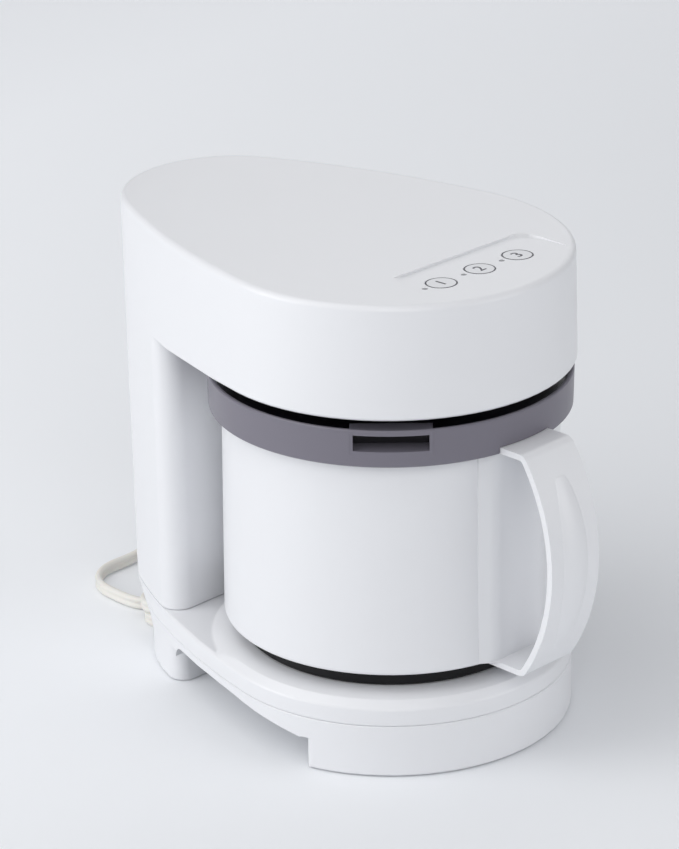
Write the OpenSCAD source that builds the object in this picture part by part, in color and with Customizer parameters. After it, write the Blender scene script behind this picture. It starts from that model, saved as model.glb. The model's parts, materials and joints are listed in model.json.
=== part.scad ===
/* [Stand-off heights] */
// Height of the seat that the jug stands on, above the table
seat_h = 38.5; // [34:0.5:44]
// Height of the black foot ring under the jug
foot_ring_h = 8.6; // [6:0.2:12]
// Height of the jug's wall, from its bottom edge to the lid ring
jug_h = 102.1; // [90:0.1:120]
// Height of the grey lid ring
lid_ring_h = 17.1; // [14:0.1:22]
// Free height between the lid ring and the head
lid_gap = 4.9; // [4.5:0.1:7]
// Height of the head, measured at the jug's axis
head_h = 52.5; // [48:0.5:62]

/* [Head and column] */
// Plan radius of the front of the head at its top
head_r = 82.5; // [80:0.1:90]
// How much wider the front of the head is at its lower edge
head_flare = 1.2; // [0:0.1:2]
// Depth of the column, from its flat front to its rear
column_depth = 69.6; // [64:0.1:80]
// Plan radius of the rear curve at the top of the head
rear_r = 51.5; // [46:0.1:56]
// Plan radius of the long flanks that join the front and rear curves
flank_r = 370; // [300:5:450]
// How far the rear of the housing draws in from the top of the head down to the table
column_draft = 2.2; // [1:0.1:6]
// Rise of the head's top towards the rear, per mm of length
top_slope = 0.010; // [0:0.001:0.02]
// Fillet round the top edge of the head
head_fillet = 3; // [1:0.5:6]
// Wall of the moulded housing
wall = 2.5; // [2:0.1:3.5]
// Gap between the lid ring and the column's flat front
column_gap = 0.4; // [0.3:0.1:2]
// Radius of the column's front corners
column_corner = 9; // [5:0.5:14]

/* [Control panel] */
// Depth of the panel below the head's top, at the jug's axis
panel_depth = 1.2; // [0.6:0.1:3]
// Distance from the head's front back to the panel's rear edge
panel_length = 48.5; // [42:0.5:54]
// Width of the sloping step behind the panel
panel_step = 7; // [3:0.5:10]
// Distance from one button's centre to the next
button_pitch = 24.4; // [20:0.1:28]
// Distance from the head's front back to the row of buttons
button_back = 30.5; // [24:0.5:34]
// Sideways place of the middle button
button_shift = 2.2; // [0:0.1:4]
// Radius of a button
button_r = 6.9; // [5:0.1:8]
// Gap round a button in its hole
button_gap = 0.3; // [0.2:0.05:0.5]
// How far a button travels when it is pressed
button_travel = 0.8; // [0.5:0.1:1.2]
// Distance from a button's centre to its indicator light
light_offset = 10.2; // [9:0.1:11.5]
// Radius of an indicator light
light_r = 1.2; // [0.8:0.1:1.6]

/* [Base] */
// How far the front of the base stands out beyond the head's top edge
base_out = 0.5; // [0:0.1:2]
// Height of the deck behind the seat
deck_h = 34.5; // [30:0.5:38]
// Height of the seam between the cover and the pan
seam_h = 25.5; // [20:0.5:28]
// Fillet round the top edge of the base
base_fillet = 2; // [1:0.5:4]
// How far the rear foot's rear stands in from the column's rear
foot_tuck = 29.5; // [20:0.5:36]
// Height at which the rear foot's wall starts to slope out to the deck
foot_h = 14; // [10:0.5:18]
// How far beyond the base's front the seat's edge would reach the deck's height
seat_out = 1.5; // [0:0.5:4]
// Width over which the seat's edge falls away
seat_fall = 14.5; // [8:0.5:20]
// Height of the arch under the base, at its highest
arch_h = 22; // [16:0.5:23]
// Distance from the jug's axis forward to the front foot's rear end
front_foot_back = 20; // [10:1:40]
// How far the rear foot's front end stands ahead of the column's flat front
rear_foot_lead = 3.9; // [0:0.1:10]
// Thickness of the rubber pads that the base stands on
pad_h = 0.6; // [0.4:0.1:2]
// Radius of a rubber pad
pad_r = 7; // [5:0.5:9]

/* [Heater] */
// Radius of the hot plate
plate_r = 50; // [40:1:58]
// Thickness of the hot plate
plate_t = 3; // [2:0.1:5]
// Radius of the heating element's ring
element_r = 36; // [28:1:44]
// Radius of the heating element's tube
element_tube = 3.2; // [2.5:0.1:4.5]

/* [Jug] */
// How much wider the jug's wall is at its bottom edge than at the lid ring
jug_flare = 1; // [0:0.1:3]
// Wall of the jug's outer shell
jug_wall = 2.4; // [1.8:0.1:3]
// How far the black foot ring stands in from the jug's bottom edge
foot_ring_in = 8.3; // [6:0.1:14]
// How far the metal pot stands in from the outside of the jug's wall
pot_in = 14.3; // [12:0.1:20]
// Wall of the metal pot
pot_wall = 1; // [0.6:0.1:1.5]
// How far the jug is drawn forward to be clear of the head
jug_travel = 190; // [180:5:240]

/* [Handle] */
// Width of the handle's band
handle_w = 31; // [26:0.5:36]
// Thickness of the handle's band
handle_t = 2.8; // [2.2:0.1:4]
// Reach of the grip beyond the jug's wall
grip_reach = 34.9; // [30:0.1:44]
// Radius of the grip's bow
bow_r = 92; // [84:1:100]
// Height of the bow's furthest point above the jug's bottom edge
bow_rise = 51.6; // [46:0.1:56]
// Thickness that the crowned spine adds on the outside of the grip
crown_h = 2; // [1:0.1:3]
// Width of the crowned spine
crown_w = 16.4; // [12:0.1:20]
// How far the handle's root stands out from the jug's wall
root_out = 2.7; // [2:0.1:4.5]

/* [Lid] */
// How far the lid ring stands out from the jug's wall
ring_out = 6.2; // [5:0.1:8]
// Length of the steam slot in the lid's plate
steam_l = 30; // [16:1:40]
// Width of the steam slot
steam_w = 5.2; // [4:0.1:7]
// Depth of the lid's plate below the top of the ring
lid_sink = 7; // [4:0.5:10]
// Width of the window in the ring
window_w = 33; // [28:0.5:40]
// Height of the window in the ring
window_h = 7.4; // [5:0.1:9]
// Height of the window's lower edge above the ring's lower edge
window_rise = 7.3; // [4:0.1:9]
// Bearing of the window round the jug, from the right side
window_bearing = -136; // [-150:0.5:-120]

/* [Drive] */
// Radius of the cutter's shaft
shaft_r = 4; // [3:0.1:5]
// Radial running clearance of a shaft in its bush
run_gap = 0.05; // [0.02:0.01:0.1]
// Radius of the driver under the head
driver_r = 14; // [11:0.5:18]
// Thickness of the tongue that the driver turns
tongue_t = 4; // [3:0.1:5]
// Length of the tongue
tongue_l = 24; // [18:0.5:26]
// Gap on each side of the tongue in the driver's slot
tongue_gap = 0.3; // [0.2:0.05:0.5]
// Radius of the motor's can
motor_r = 27; // [22:0.5:30]
// Tip radius of the cutter
cutter_r = 30; // [24:0.5:36]
// Height of the cutter above the pot's floor
cutter_rise = 14; // [10:0.5:20]

/* [Cord] */
// Width of the flat twin cord
cord_w = 6.4; // [5.6:0.1:7]
// Thickness of the flat twin cord
cord_t = 3.4; // [2.8:0.1:3.6]

/* [Hidden] */

$fn = 96;
EPS = 0.01;      // overlap that keeps a cut clean
FIT = 0.3;       // clearance between separate bodies
SLIP = 0.15;     // clearance between parts that are fixed to each other
TOUCH = 0.02;    // clearance between parts that are pressed or clamped together
EDGE = 0.5;      // small chamfer on the edges along a seam

// Heights, each built on the one below
jug_z = seat_h + FIT + foot_ring_h;          // bottom edge of the jug's wall
ring_z = jug_z + jug_h;                      // lower edge of the lid ring
ring_top = ring_z + lid_ring_h;              // upper edge of the lid ring
head_z = ring_top + lid_gap;                 // lower edge of the head
total_h = head_z + head_h;                   // top of the head at the jug's axis

// Radii and distances from the jug's axis, each built on the one before
lid_r = head_r;                              // outer radius of the lid ring at its top
jug_r_top = lid_r - ring_out;                // outer radius of the jug's wall at the lid ring
jug_r_bottom = jug_r_top + jug_flare;        // and at its bottom edge
foot_ring_r = jug_r_bottom - foot_ring_in;   // outer radius of the black foot ring
pot_r = jug_r_top - pot_in;                  // outer radius of the metal pot
handle_reach = jug_r_top + grip_reach;       // front of the grip, before its crowned spine
root_front = jug_r_top + root_out;           // front of the handle's root
panel_back = head_r - panel_length;          // forward to the panel's rear edge
button_row = head_r - button_back;           // forward to the row of buttons
base_r = head_r + base_out;                  // radius of the front of the base
seat_edge_r = base_r + seat_out;             // radius at which the seat's edge reaches the deck
seat_flat_r = seat_edge_r - seat_fall;       // radius of the seat's flat
column_front = lid_r + column_gap;           // back to the column's flat front
rear_foot_front = column_front - rear_foot_lead;     // back to the rear foot's front end
rear_shift = column_front + column_depth - rear_r;   // back to the centre of the rear curve
frame_y = (column_front + column_depth - handle_reach - crown_h) / 2;   // back to the middle of the length

// Moves a piece drawn about the jug's axis so that the origin lies under the middle of the appliance
module in_frame() {
    translate([0, -frame_y, 0]) children();
}

// ---- outlines ---------------------------------------------------------------------------------

// Points along an arc, from angle a0 to a1
function arc(cx, cy, r, a0, a1, n) =
    [for (i = [0:n]) let (a = a0 + (a1 - a0) * i / n) [cx + r * cos(a), cy + r * sin(a)]];

// A list without its first entry
function tail(v) = [for (i = [1:len(v) - 1]) v[i]];

// The left half of an outline, mirrored from the right half that runs from front to rear
function mirrored(half) = [for (i = [len(half) - 2:-1:1]) [-half[i][0], half[i][1]]];

// Centre of the right flank's arc, for a front curve r1 and a rear curve r2 that lie l apart
function flank_y(r1, r2, r3, l) = ((r3 - r1) ^ 2 - (r3 - r2) ^ 2 + l ^ 2) / (2 * l);
function flank_x(r1, r2, r3, l) = -sqrt((r3 - r1) ^ 2 - flank_y(r1, r2, r3, l) ^ 2);

// Angle on the right flank's arc where a column's corner, rounded off a flat front at y, runs into it
function corner_x(r1, r2, r3, l, y, corner) = flank_x(r1, r2, r3, l)
    + sqrt((r3 - corner) ^ 2 - (y + corner - flank_y(r1, r2, r3, l)) ^ 2);
function corner_angle(r1, r2, r3, l, y, corner) =
    atan2(y + corner - flank_y(r1, r2, r3, l),
        corner_x(r1, r2, r3, l, y, corner) - flank_x(r1, r2, r3, l));

// Rear of an egg: the flank from the column's corner back, and the rear arc
function rear_points(r1, r2, r3, l, y, corner) =
    let (fx = flank_x(r1, r2, r3, l), fy = flank_y(r1, r2, r3, l), a2 = atan2(l - fy, -fx))
    concat(tail(arc(fx, fy, r3, corner_angle(r1, r2, r3, l, y, corner), a2, 3)),
        tail(arc(0, l, r2, a2, 90, 12)));

// Egg outline made of a front arc, two flanks and a rear arc that run into each other
function egg(r1, r2, r3, l, y, corner) =
    let (fx = flank_x(r1, r2, r3, l), fy = flank_y(r1, r2, r3, l), a1 = atan2(-fy, -fx),
        half = concat(arc(0, 0, r1, -90, a1, 20),
            tail(arc(fx, fy, r3, a1, corner_angle(r1, r2, r3, l, y, corner), 4)),
            rear_points(r1, r2, r3, l, y, corner)))
    concat(half, mirrored(half));

// Column outline: the egg's rear, closed by a flat front at y with rounded corners
function column_outline(r1, r2, r3, l, y, corner) =
    let (half = concat([[0, y]],
            arc(corner_x(r1, r2, r3, l, y, corner), y + corner, corner, -90,
                corner_angle(r1, r2, r3, l, y, corner), 8),
            rear_points(r1, r2, r3, l, y, corner)))
    concat(half, mirrored(half));

// How far the rear has drawn in at height z
function draft(z) = column_draft * (total_h - z) / total_h;

// Radius of the front at height z, which the flanks follow
function front_r(z) = z >= head_z ? head_r + head_flare * (total_h - z) / head_h
    : z <= deck_h ? base_r
    : base_r + (head_r + head_flare - base_r) * (z - deck_h) / (head_z - deck_h);

function body_outline(z, inset) =
    egg(front_r(z) - inset, rear_r - draft(z) - inset, flank_r - inset, rear_shift,
        column_front + inset, column_corner - inset);
function column_ring(z, inset) =
    column_outline(front_r(z) - inset, rear_r - draft(z) - inset, flank_r - inset, rear_shift,
        column_front + inset, column_corner - inset);

// How far the tuck of the rear foot has come in at height z, from 0 at the deck to 1 at the foot
function tucked(z) = min(1, max(0, (deck_h - z) / (deck_h - foot_h))) ^ 1.5;

// Place back of a point at y once the base's rear is tucked in at height z
function tuck(y, z) =
    let (start = column_front + 2, span = rear_shift + rear_r - start, t = (y - start) / span)
    t <= 0 ? y : y + tucked(z) * (start + (span - foot_tuck) * (1 - (1 - t) ^ 2) - y);

// Outline of the base at height z: the housing's outline with its rear tucked in
function base_outline(z, inset) = [for (p = body_outline(z, inset)) [p[0], tuck(p[1], z)]];

// ---- lofts ------------------------------------------------------------------------------------

// Lifts a flat outline to height z, on a plane that rises by slope towards the rear
function lift(outline, z, slope = 0) = [for (p = outline) [p[0], p[1], z + slope * p[1]]];

// Solid through a list of rings of equal length, closed by the first and the last ring
module loft(rings) {
    n = len(rings[0]);
    last = len(rings) - 1;
    sides = [for (k = [0:last - 1], i = [0:n - 1])
        let (a = k * n + i, b = k * n + (i + 1) % n) each [[a, a + n, b + n], [a, b + n, b]]];
    polyhedron(points = [for (r = rings) each r], convexity = 6,
        faces = concat([[for (i = [0:n - 1]) i]], sides, [[for (i = [n - 1:-1:0]) last * n + i]]));
}

// Tube through a closed loop of rings, such as a wall's outside and then its inside
module loft_loop(rings) {
    n = len(rings[0]);
    m = len(rings);
    polyhedron(points = [for (r = rings) each r], convexity = 6,
        faces = [for (k = [0:m - 1], i = [0:n - 1])
            let (j = (i + 1) % n, a = k * n + i, b = k * n + j, c = ((k + 1) % m) * n + i,
                d = ((k + 1) % m) * n + j) each [[a, c, d], [a, d, b]]]);
}

// Vertical prism between two heights
module slab(z0, z1) {
    translate([0, 0, z0]) linear_extrude(z1 - z0) children();
}

// Upright cylinder between two heights
module rod(r, z0, z1) {
    translate([0, 0, z0]) cylinder(r = r, h = z1 - z0);
}

// Upright tube between two heights
module sleeve(r_out, r_in, z0, z1) {
    difference() {
        rod(r_out, z0, z1);
        rod(r_in, z0 - 1, z1 + 1);
    }
}

// Copies its children to each place in a list
module at(places) {
    for (p = places) translate(p) children();
}

// Pan-head screw whose head rests at z = 0 and whose shank runs down
module screw(shank_r, length, head_r, head_t) {
    cylinder(r = head_r, h = head_t);
    translate([0, 0, -length]) cylinder(r = shank_r, h = length);
}

// ---- housing ----------------------------------------------------------------------------------

INNER = wall + FIT;                 // inset of a piece that sits inside the housing's wall
panel_z = total_h - top_slope * panel_back - panel_depth;   // panel's height at its rear edge
PANEL_FRONT = head_r - 14.5;        // distance forward at which the panel meets the top again
PANEL_RISE = atan((panel_depth - top_slope * (PANEL_FRONT - panel_back)) / (PANEL_FRONT - panel_back));
PANEL_HALF = 44;                    // half the panel's width
PANEL_SHIFT = 6;                    // sideways place of the panel's middle
PANEL_END = 15;                     // radius of the panel's rounded ends
PANEL_RIM = 4;                      // distance from the panel's front end to the head's edge
button_x = [button_shift - button_pitch, button_shift, button_shift + button_pitch];

// Puts its children on the panel's plane, where z = 0 is the panel's surface
module on_panel() {
    translate([0, -panel_back, panel_z]) rotate([-PANEL_RISE, 0, 0]) translate([0, panel_back, 0])
        children();
}

module panel_outline() {
    intersection() {
        circle(r = head_r - PANEL_RIM);
        hull() for (x = [-1, 1], y = [-panel_back - PANEL_END, -head_r - PANEL_END])
            translate([PANEL_SHIFT + x * (PANEL_HALF - PANEL_END), y]) circle(r = PANEL_END, $fn = 32);
    }
}

module panel_cut() {
    on_panel() {
        linear_extrude(8) panel_outline();
        hull() {
            linear_extrude(EPS) intersection() {
                panel_outline();
                translate([-head_r, -panel_back - PANEL_END]) square([2 * head_r, PANEL_END]);
            }
            translate([0, 0, panel_depth + 0.4]) linear_extrude(EPS) translate([0, panel_step])
                intersection() {
                    panel_outline();
                    translate([-head_r, -panel_back - PANEL_END - panel_step])
                        square([2 * head_r, PANEL_END]);
                }
        }
    }
}

// A ring with the inner ring's points ahead of y, and the outer ring's points behind it
function front_only(outer, inner, y) =
    [for (i = [0:len(outer) - 1]) outer[i][1] < y ? inner[i] : outer[i]];

module head_cup() {
    steps = 5;
    lip = 2 * EDGE;
    rings = concat(
        [lift(body_outline(total_h - wall, wall + 1), total_h - wall, top_slope),
         lift(body_outline(head_z, wall), head_z),
         front_only(lift(body_outline(head_z, 0), head_z), lift(body_outline(head_z, lip), head_z),
             column_front - 20),
         lift(body_outline(head_z + lip, 0), head_z + lip)],
        [for (k = [0:steps]) let (a = 90 * k / steps, z = total_h - head_fillet * (1 - sin(a)))
            lift(body_outline(z, head_fillet * (1 - cos(a))), z, top_slope)]);
    loft(rings);
}

module column_tube() {
    low = deck_h + SLIP;
    loft_loop([lift(column_ring(low, EDGE), low), lift(column_ring(low, 0), low + EDGE),
        lift(column_ring(head_z, 0), head_z), lift(column_ring(head_z, wall), head_z),
        lift(column_ring(low, wall), low)]);
}

GLAND_R = 5;                        // radius of the cord's strain relief at the wall
GLAND_FLANGE = 7;                   // radius of its flange inside the wall
// Distance back to the column's rear wall, or to its inner face, at height z and sideways place x
function column_rear(z, x, inset) = rear_shift + sqrt((rear_r - draft(z) - inset) ^ 2 - x ^ 2);

module housing_shell() {
    color("#f1f1f2") in_frame() difference() {
        union() {
            head_cup();
            column_tube();
        }
        panel_cut();
        on_panel() for (x = button_x) {
            translate([x, -button_row, -2 * wall]) cylinder(r = button_r + button_gap, h = 3 * wall);
            translate([x - light_offset, -button_row, -2 * wall]) cylinder(r = light_r + SLIP, h = 3 * wall);
        }
        translate([gland_x, column_rear(gland_z, gland_x, 0) - 10, gland_z]) rotate([-90, 0, 0])
            cylinder(r = GLAND_R + SLIP, h = 20);
    }
}

UNDER_T = 2.5;                      // thickness of the head's underside
under_z = head_z + FIT;             // its lower face
under_top = under_z + UNDER_T;      // its upper face
MOUNT_PCD = 2 * (motor_r + 6);      // pitch circle of the motor's mounting bosses
MOUNT_BOSS = 4;                     // height and radius of those bosses
TAP_R = 1.3;                        // bore of a boss that takes a screw
DRIVER_GAP = 1.5;                   // gap round the driver in the head's underside
mount_places = [for (a = [45:90:315]) [MOUNT_PCD / 2 * cos(a), MOUNT_PCD / 2 * sin(a), 0]];
motor_plate_z = under_top + MOUNT_BOSS;

module head_underside() {
    color("#e9e9ea") in_frame() difference() {
        union() {
            slab(under_z, under_top) intersection() {
                polygon(body_outline(head_z, INNER));
                translate([-base_r, -base_r]) square([2 * base_r, base_r + column_front + wall]);
            }
            at(mount_places) rod(MOUNT_BOSS, under_top - 1, motor_plate_z);
            sleeve(driver_r + DRIVER_GAP + wall, driver_r + DRIVER_GAP, under_top - 1, motor_plate_z - FIT);
        }
        rod(driver_r + DRIVER_GAP, under_z - 1, under_top + 1);
        at(mount_places) rod(TAP_R, under_z + 1, motor_plate_z + 1);
    }
}

CAP_H = 4.2;                        // height of a button's cap
CAP_FLANGE = 1.5;                   // how far the flange that keeps it in stands out
CAP_STEM = 5;                       // depth of its stem's end below the panel
STEM_R = 2;

module button(i) {
    color("#f4f4f5") in_frame() on_panel() translate([button_x[i], -button_row, 0]) {
        translate([0, 0, -CAP_H]) cylinder(r = button_r, h = CAP_H);
        translate([0, 0, -CAP_H - 0.2]) cylinder(r = button_r + CAP_FLANGE, h = 1.2);
        translate([0, 0, -CAP_STEM]) cylinder(r = STEM_R, h = STEM_R);
    }
}
module button_left() { button(0); }
module button_middle() { button(1); }
module button_right() { button(2); }

BOARD_T = 1.6;                      // thickness of a circuit board
HEAD_T = 1.8;                       // height of a screw's head
SHANK_R = 1.6;                      // radius of a screw's hole in a board
SWITCH_H = 3.4;                     // height of a tact switch's stem on the board
SWITCH_W = 6;                       // width of its case
STEM_GAP = 0.2;                     // gap between a pressed cap's stem and its switch
BOARD_L = 76;                       // length of the control board
BOARD_W = 24;                       // width of the control board
CONNECTOR = [8, 4, 5];              // connector at the control board's left end
board_drop = CAP_STEM + button_travel + STEM_GAP + SWITCH_H;    // panel's surface down to the board

module indicator_lights() {
    color("#9a9a9a") in_frame() on_panel() for (x = button_x)
        translate([x - light_offset, -button_row, FIT - board_drop])
            cylinder(r = light_r, h = board_drop - FIT - 0.1);
}

module control_board() {
    color("#2f7d4f") in_frame() on_panel() translate([0, -button_row, -board_drop]) {
        translate([button_shift - light_offset / 2 - 0.1, 0, 0]) {
            translate([-BOARD_L / 2, -BOARD_W / 2, -BOARD_T]) cube([BOARD_L, BOARD_W, BOARD_T]);
            translate([1 - BOARD_L / 2, BOARD_W / 2 - CONNECTOR[1] - 1, -EPS]) cube(CONNECTOR);
        }
        for (x = button_x) translate([x, 0, 0]) {
            translate([-SWITCH_W / 2, -SWITCH_W / 2, -EPS]) cube([SWITCH_W, SWITCH_W, 0.75 * SWITCH_H]);
            cylinder(r = SWITCH_W / 4, h = SWITCH_H);
        }
    }
}

MOTOR_PLATE_T = 2;
can_z = motor_plate_z + MOTOR_PLATE_T;
CAN_H = 33;
CAN_WALL = 2;
VENT_R = 3;                         // radius of the cooling holes in the can's top
can_top = can_z + CAN_H;
MOTOR_SHAFT_R = 3;
BUSH_R = 6;
BUSH_H = 5;

module motor_plate() {
    color("#b9bcc0") in_frame() difference() {
        rod(MOUNT_PCD / 2 + MOUNT_BOSS + 1, motor_plate_z, can_z);
        rod(BUSH_R + 1, motor_plate_z - 1, can_z + 1);
        at(mount_places) rod(TAP_R + 0.5, motor_plate_z - 1, can_z + 1);
    }
}

module motor_can() {
    color("#8d9095") in_frame() difference() {
        rod(motor_r, can_z, can_top);
        rod(motor_r - CAN_WALL, can_z + CAN_WALL + 1, can_top - CAN_WALL - 1);
        rod(BUSH_R, can_z - 1, can_top + 1);
        for (a = [0:60:300]) rotate(a) translate([motor_r * 0.62, 0, can_top - 2 * CAN_WALL])
            cylinder(r = VENT_R, h = 3 * CAN_WALL);
    }
}

module motor_bearings() {
    color("#c9a24b") in_frame() for (z = [can_z, can_top - BUSH_H])
        sleeve(BUSH_R - EPS, MOTOR_SHAFT_R + run_gap, z, z + BUSH_H);
}

module motor_screws() {
    color("#c4c6ca") in_frame() at(mount_places) translate([0, 0, can_z + EPS])
        screw(TAP_R - TOUCH, MOTOR_PLATE_T + MOUNT_BOSS - 0.5, 3, HEAD_T);
}

FAN_H = 4;
FAN_R = 22;
FAN_HUB = 7;
FAN_BLADE = [FAN_R - FAN_HUB + 2, 1.6, FAN_H];
fan_z = can_top + 1;
shaft_end = fan_z + FAN_H;
driver_z = ring_top + 0.8;          // lower face of the driver
DRIVER_DISC = 5.8;                  // height of the driver's slotted disc
DRIVER_ROOF = 2.2;                  // thickness of the disc above the slot
DRIVER_HUB = 8;                     // radius of the driver's upper part
slot_top = driver_z + DRIVER_DISC - DRIVER_ROOF;
driver_top = motor_plate_z - 0.4;

module motor_shaft() {
    color("#c8cacc") in_frame() rod(MOTOR_SHAFT_R, slot_top + 1, shaft_end);
}

module rotor_core() {
    color("#a5622a") in_frame()
        sleeve(motor_r - CAN_WALL - 4, MOTOR_SHAFT_R + TOUCH, can_z + BUSH_H + 1, can_top - BUSH_H - 1);
}

module cooling_fan() {
    color("#3c3f43") in_frame() difference() {
        union() {
            rod(FAN_HUB, fan_z, shaft_end);
            for (a = [0:40:320]) rotate(a) translate([FAN_HUB - 2, -FAN_BLADE[1] / 2, fan_z]) cube(FAN_BLADE);
            rod(FAN_R, fan_z, fan_z + FAN_BLADE[1] / 2);
        }
        rod(MOTOR_SHAFT_R + TOUCH, fan_z - 1, shaft_end + 1);
    }
}

module driver_hub() {
    color("#2b2c2f") in_frame() difference() {
        union() {
            rod(driver_r, driver_z, driver_z + DRIVER_DISC);
            rod(DRIVER_HUB, slot_top, driver_top);
        }
        translate([-tongue_t / 2 - tongue_gap, -driver_r - 1, driver_z - 1])
            cube([tongue_t + 2 * tongue_gap, 2 * driver_r + 2, slot_top - driver_z + 1]);
        rod(MOTOR_SHAFT_R + TOUCH, slot_top + 1, driver_top + 1);
    }
}

POWER_POST = 3;                     // radius of the spacers behind the power board
POST_L = 6;                         // their length
POWER_W = 72;
POWER_H = 90;
TRANSFORMER = [34, 24, 30];
RELAY = [16, 15, 12];
HEAT_SINK = [12, 8, 18];
CAPACITOR_R = 6;
CAPACITOR_L = 20;
POWER_Y = column_front + wall + POST_L;     // front face of the power board
POWER_Z = deck_h + 24;                      // its lower edge
power_places = [for (x = [-1, 1], z = [5, POWER_H - 5]) [x * (POWER_W / 2 - 6), 0, POWER_Z + z]];

module power_board() {
    color("#3d7f54") in_frame() {
        difference() {
            translate([-POWER_W / 2, POWER_Y, POWER_Z]) cube([POWER_W, BOARD_T, POWER_H]);
            at(power_places) translate([0, POWER_Y - 1, 0]) rotate([-90, 0, 0])
                cylinder(r = SHANK_R, h = BOARD_T + 2);
        }
        translate([0, POWER_Y + BOARD_T - EPS, POWER_Z]) {
            translate([8 - POWER_W / 2, 0, POWER_H * 0.22]) cube(TRANSFORMER);
            translate([POWER_W / 2 - RELAY[0] - 6, 0, POWER_H * 0.27]) cube(RELAY);
            translate([POWER_W / 2 - HEAT_SINK[0] - 8, 0, POWER_H * 0.67]) cube(HEAT_SINK);
            translate([-CAPACITOR_R, 0, POWER_H * 0.8]) rotate([-90, 0, 0])
                cylinder(r = CAPACITOR_R, h = CAPACITOR_L);
        }
    }
}

// Screws with a spacer each, which hold the power board off the column's front wall
module board_screws() {
    color("#c4c6ca") in_frame() at(power_places) translate([0, column_front + wall, 0]) rotate([-90, 0, 0]) {
        cylinder(r = POWER_POST, h = POST_L);
        cylinder(r = SHANK_R - TOUCH, h = POST_L + BOARD_T);
        translate([0, 0, POST_L + BOARD_T + EPS]) cylinder(r = POWER_POST, h = HEAD_T);
    }
}

// ---- base -------------------------------------------------------------------------------------

plate_hole = plate_r + 1.5;
cover_under = seat_h - wall;                // the seat's inner face
WIRE_HOLE = [40, 24];                       // opening in the deck for the wires, inside the column
BOSS_R = 4.5;                       // radius of the bosses that take the base's screws
boss_top = deck_h - wall - 1;               // upper end of the bores in those bosses
FRONT_SCREW = [26, 36];             // a front screw's place, in from the base's side and forward
REAR_SCREW = [13.5, 42.5];          // a rear screw's place, in from the rear curve's side and its end
screw_places = [for (x = [-1, 1]) each [[x * (base_r - FRONT_SCREW[0]), -FRONT_SCREW[1], 0],
    [x * (rear_r - REAR_SCREW[0]), column_front + column_depth - REAR_SCREW[1], 0]]];

// Dome of the seat: flat in the middle, falling to the deck in an arc
module seat_dome() {
    fall = seat_h - deck_h;
    run = seat_edge_r - seat_flat_r;
    r = (run ^ 2 + fall ^ 2) / (2 * fall);
    top = [for (k = [0:8]) let (x = run * k / 8) [seat_flat_r + x, seat_h - r + sqrt(r ^ 2 - x ^ 2)]];
    rotate_extrude() polygon(concat([[plate_hole, deck_h - wall], [plate_hole, seat_h]], top,
        [[seat_edge_r, deck_h - wall]]));
}

// The cover's rings from the seam up to the deck, with a fillet ahead of the column only
function cover_rings(steps) = concat(
    [lift(base_outline(deck_h - wall, wall + 0.5), deck_h - wall),
     lift(base_outline(seam_h, wall), seam_h), lift(base_outline(seam_h, EDGE), seam_h),
     lift(base_outline(seam_h + EDGE, 0), seam_h + EDGE)],
    [for (k = [0:steps]) let (a = 90 * k / steps, z = deck_h - base_fillet * (1 - sin(a)))
        front_only(lift(base_outline(z, 0), z), lift(base_outline(z, base_fillet * (1 - cos(a))), z),
            column_front + column_corner - 2)]);

module base_cover() {
    steps = 4;
    color("#f1f1f2") in_frame() difference() {
        union() {
            loft(cover_rings(steps));
            intersection() {
                seat_dome();
                loft([for (q = [[deck_h - wall - 1, 0.2], [deck_h - base_fillet, 0.2],
                        [deck_h - base_fillet * 0.3, base_fillet * 0.3],
                        [seat_h + 1, base_fillet + seat_h - deck_h]])
                    lift(base_outline(deck_h, q[1]), q[0])]);
            }
            at(screw_places) rod(BOSS_R, seam_h, deck_h - wall + EPS);
        }
        rod(plate_hole, seam_h - 1, seat_h + 1);
        rod(seat_flat_r - 3, seam_h - 1, cover_under);
        translate([-WIRE_HOLE[0] / 2, column_front + wall + 8, deck_h - wall - 1])
            cube([WIRE_HOLE[0], WIRE_HOLE[1], wall + 2]);
        translate([-base_r, column_front - SLIP, deck_h]) cube([2 * base_r, seat_out + 20, seat_h]);
        at(screw_places) rod(TAP_R + 0.1, seam_h - 1, boss_top);
    }
}

FOOT_CORNER = 9;                    // radius of the rear foot's upright corners towards the arch
FRONT_CORNER = 6;                   // radius of the front foot's upright corners towards the arch
REAR_CORNER_X = rear_r - 2;         // sideways place of the rear foot's corner centres
FRONT_CORNER_X = base_r - 10;       // sideways place of the front foot's corner centres
ARCH_DROP = 7;                      // fall of the arch from its crest to the front foot
ARCH_ROUND = 6;                     // radius of the arch's corner at the rear foot

// Side view of the space under the base between its two feet
module arch_profile(grow) {
    crest = (rear_foot_front + front_foot_back) * 0.66 - front_foot_back;
    half = crest + front_foot_back;
    r = (half ^ 2 + ARCH_DROP ^ 2) / (2 * ARCH_DROP);
    polygon(concat([[-front_foot_back - grow, -1]],
        [for (k = [0:10]) let (y = -front_foot_back + half * k / 10)
            [k == 0 ? y - grow : y, arch_h - r + sqrt(r ^ 2 - (y - crest) ^ 2) + grow]],
        arc(rear_foot_front - ARCH_ROUND, arch_h - ARCH_ROUND, ARCH_ROUND + grow, 90, 0, 5),
        [[rear_foot_front + grow, -1]]));
}

// Space beside a foot's upright corner, which is rounded about the point (x, y) with radius r
module corner_gap(x, y, r, grow, z) {
    slab(-1, z + grow) difference() {
        translate([min(x, sign(x) * 2 * base_r), min(y, y + sign(-y) * r) - grow])
            square([2 * base_r - abs(x), r + grow]);
        translate([x, y]) circle(r = r - grow);
    }
}

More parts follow.
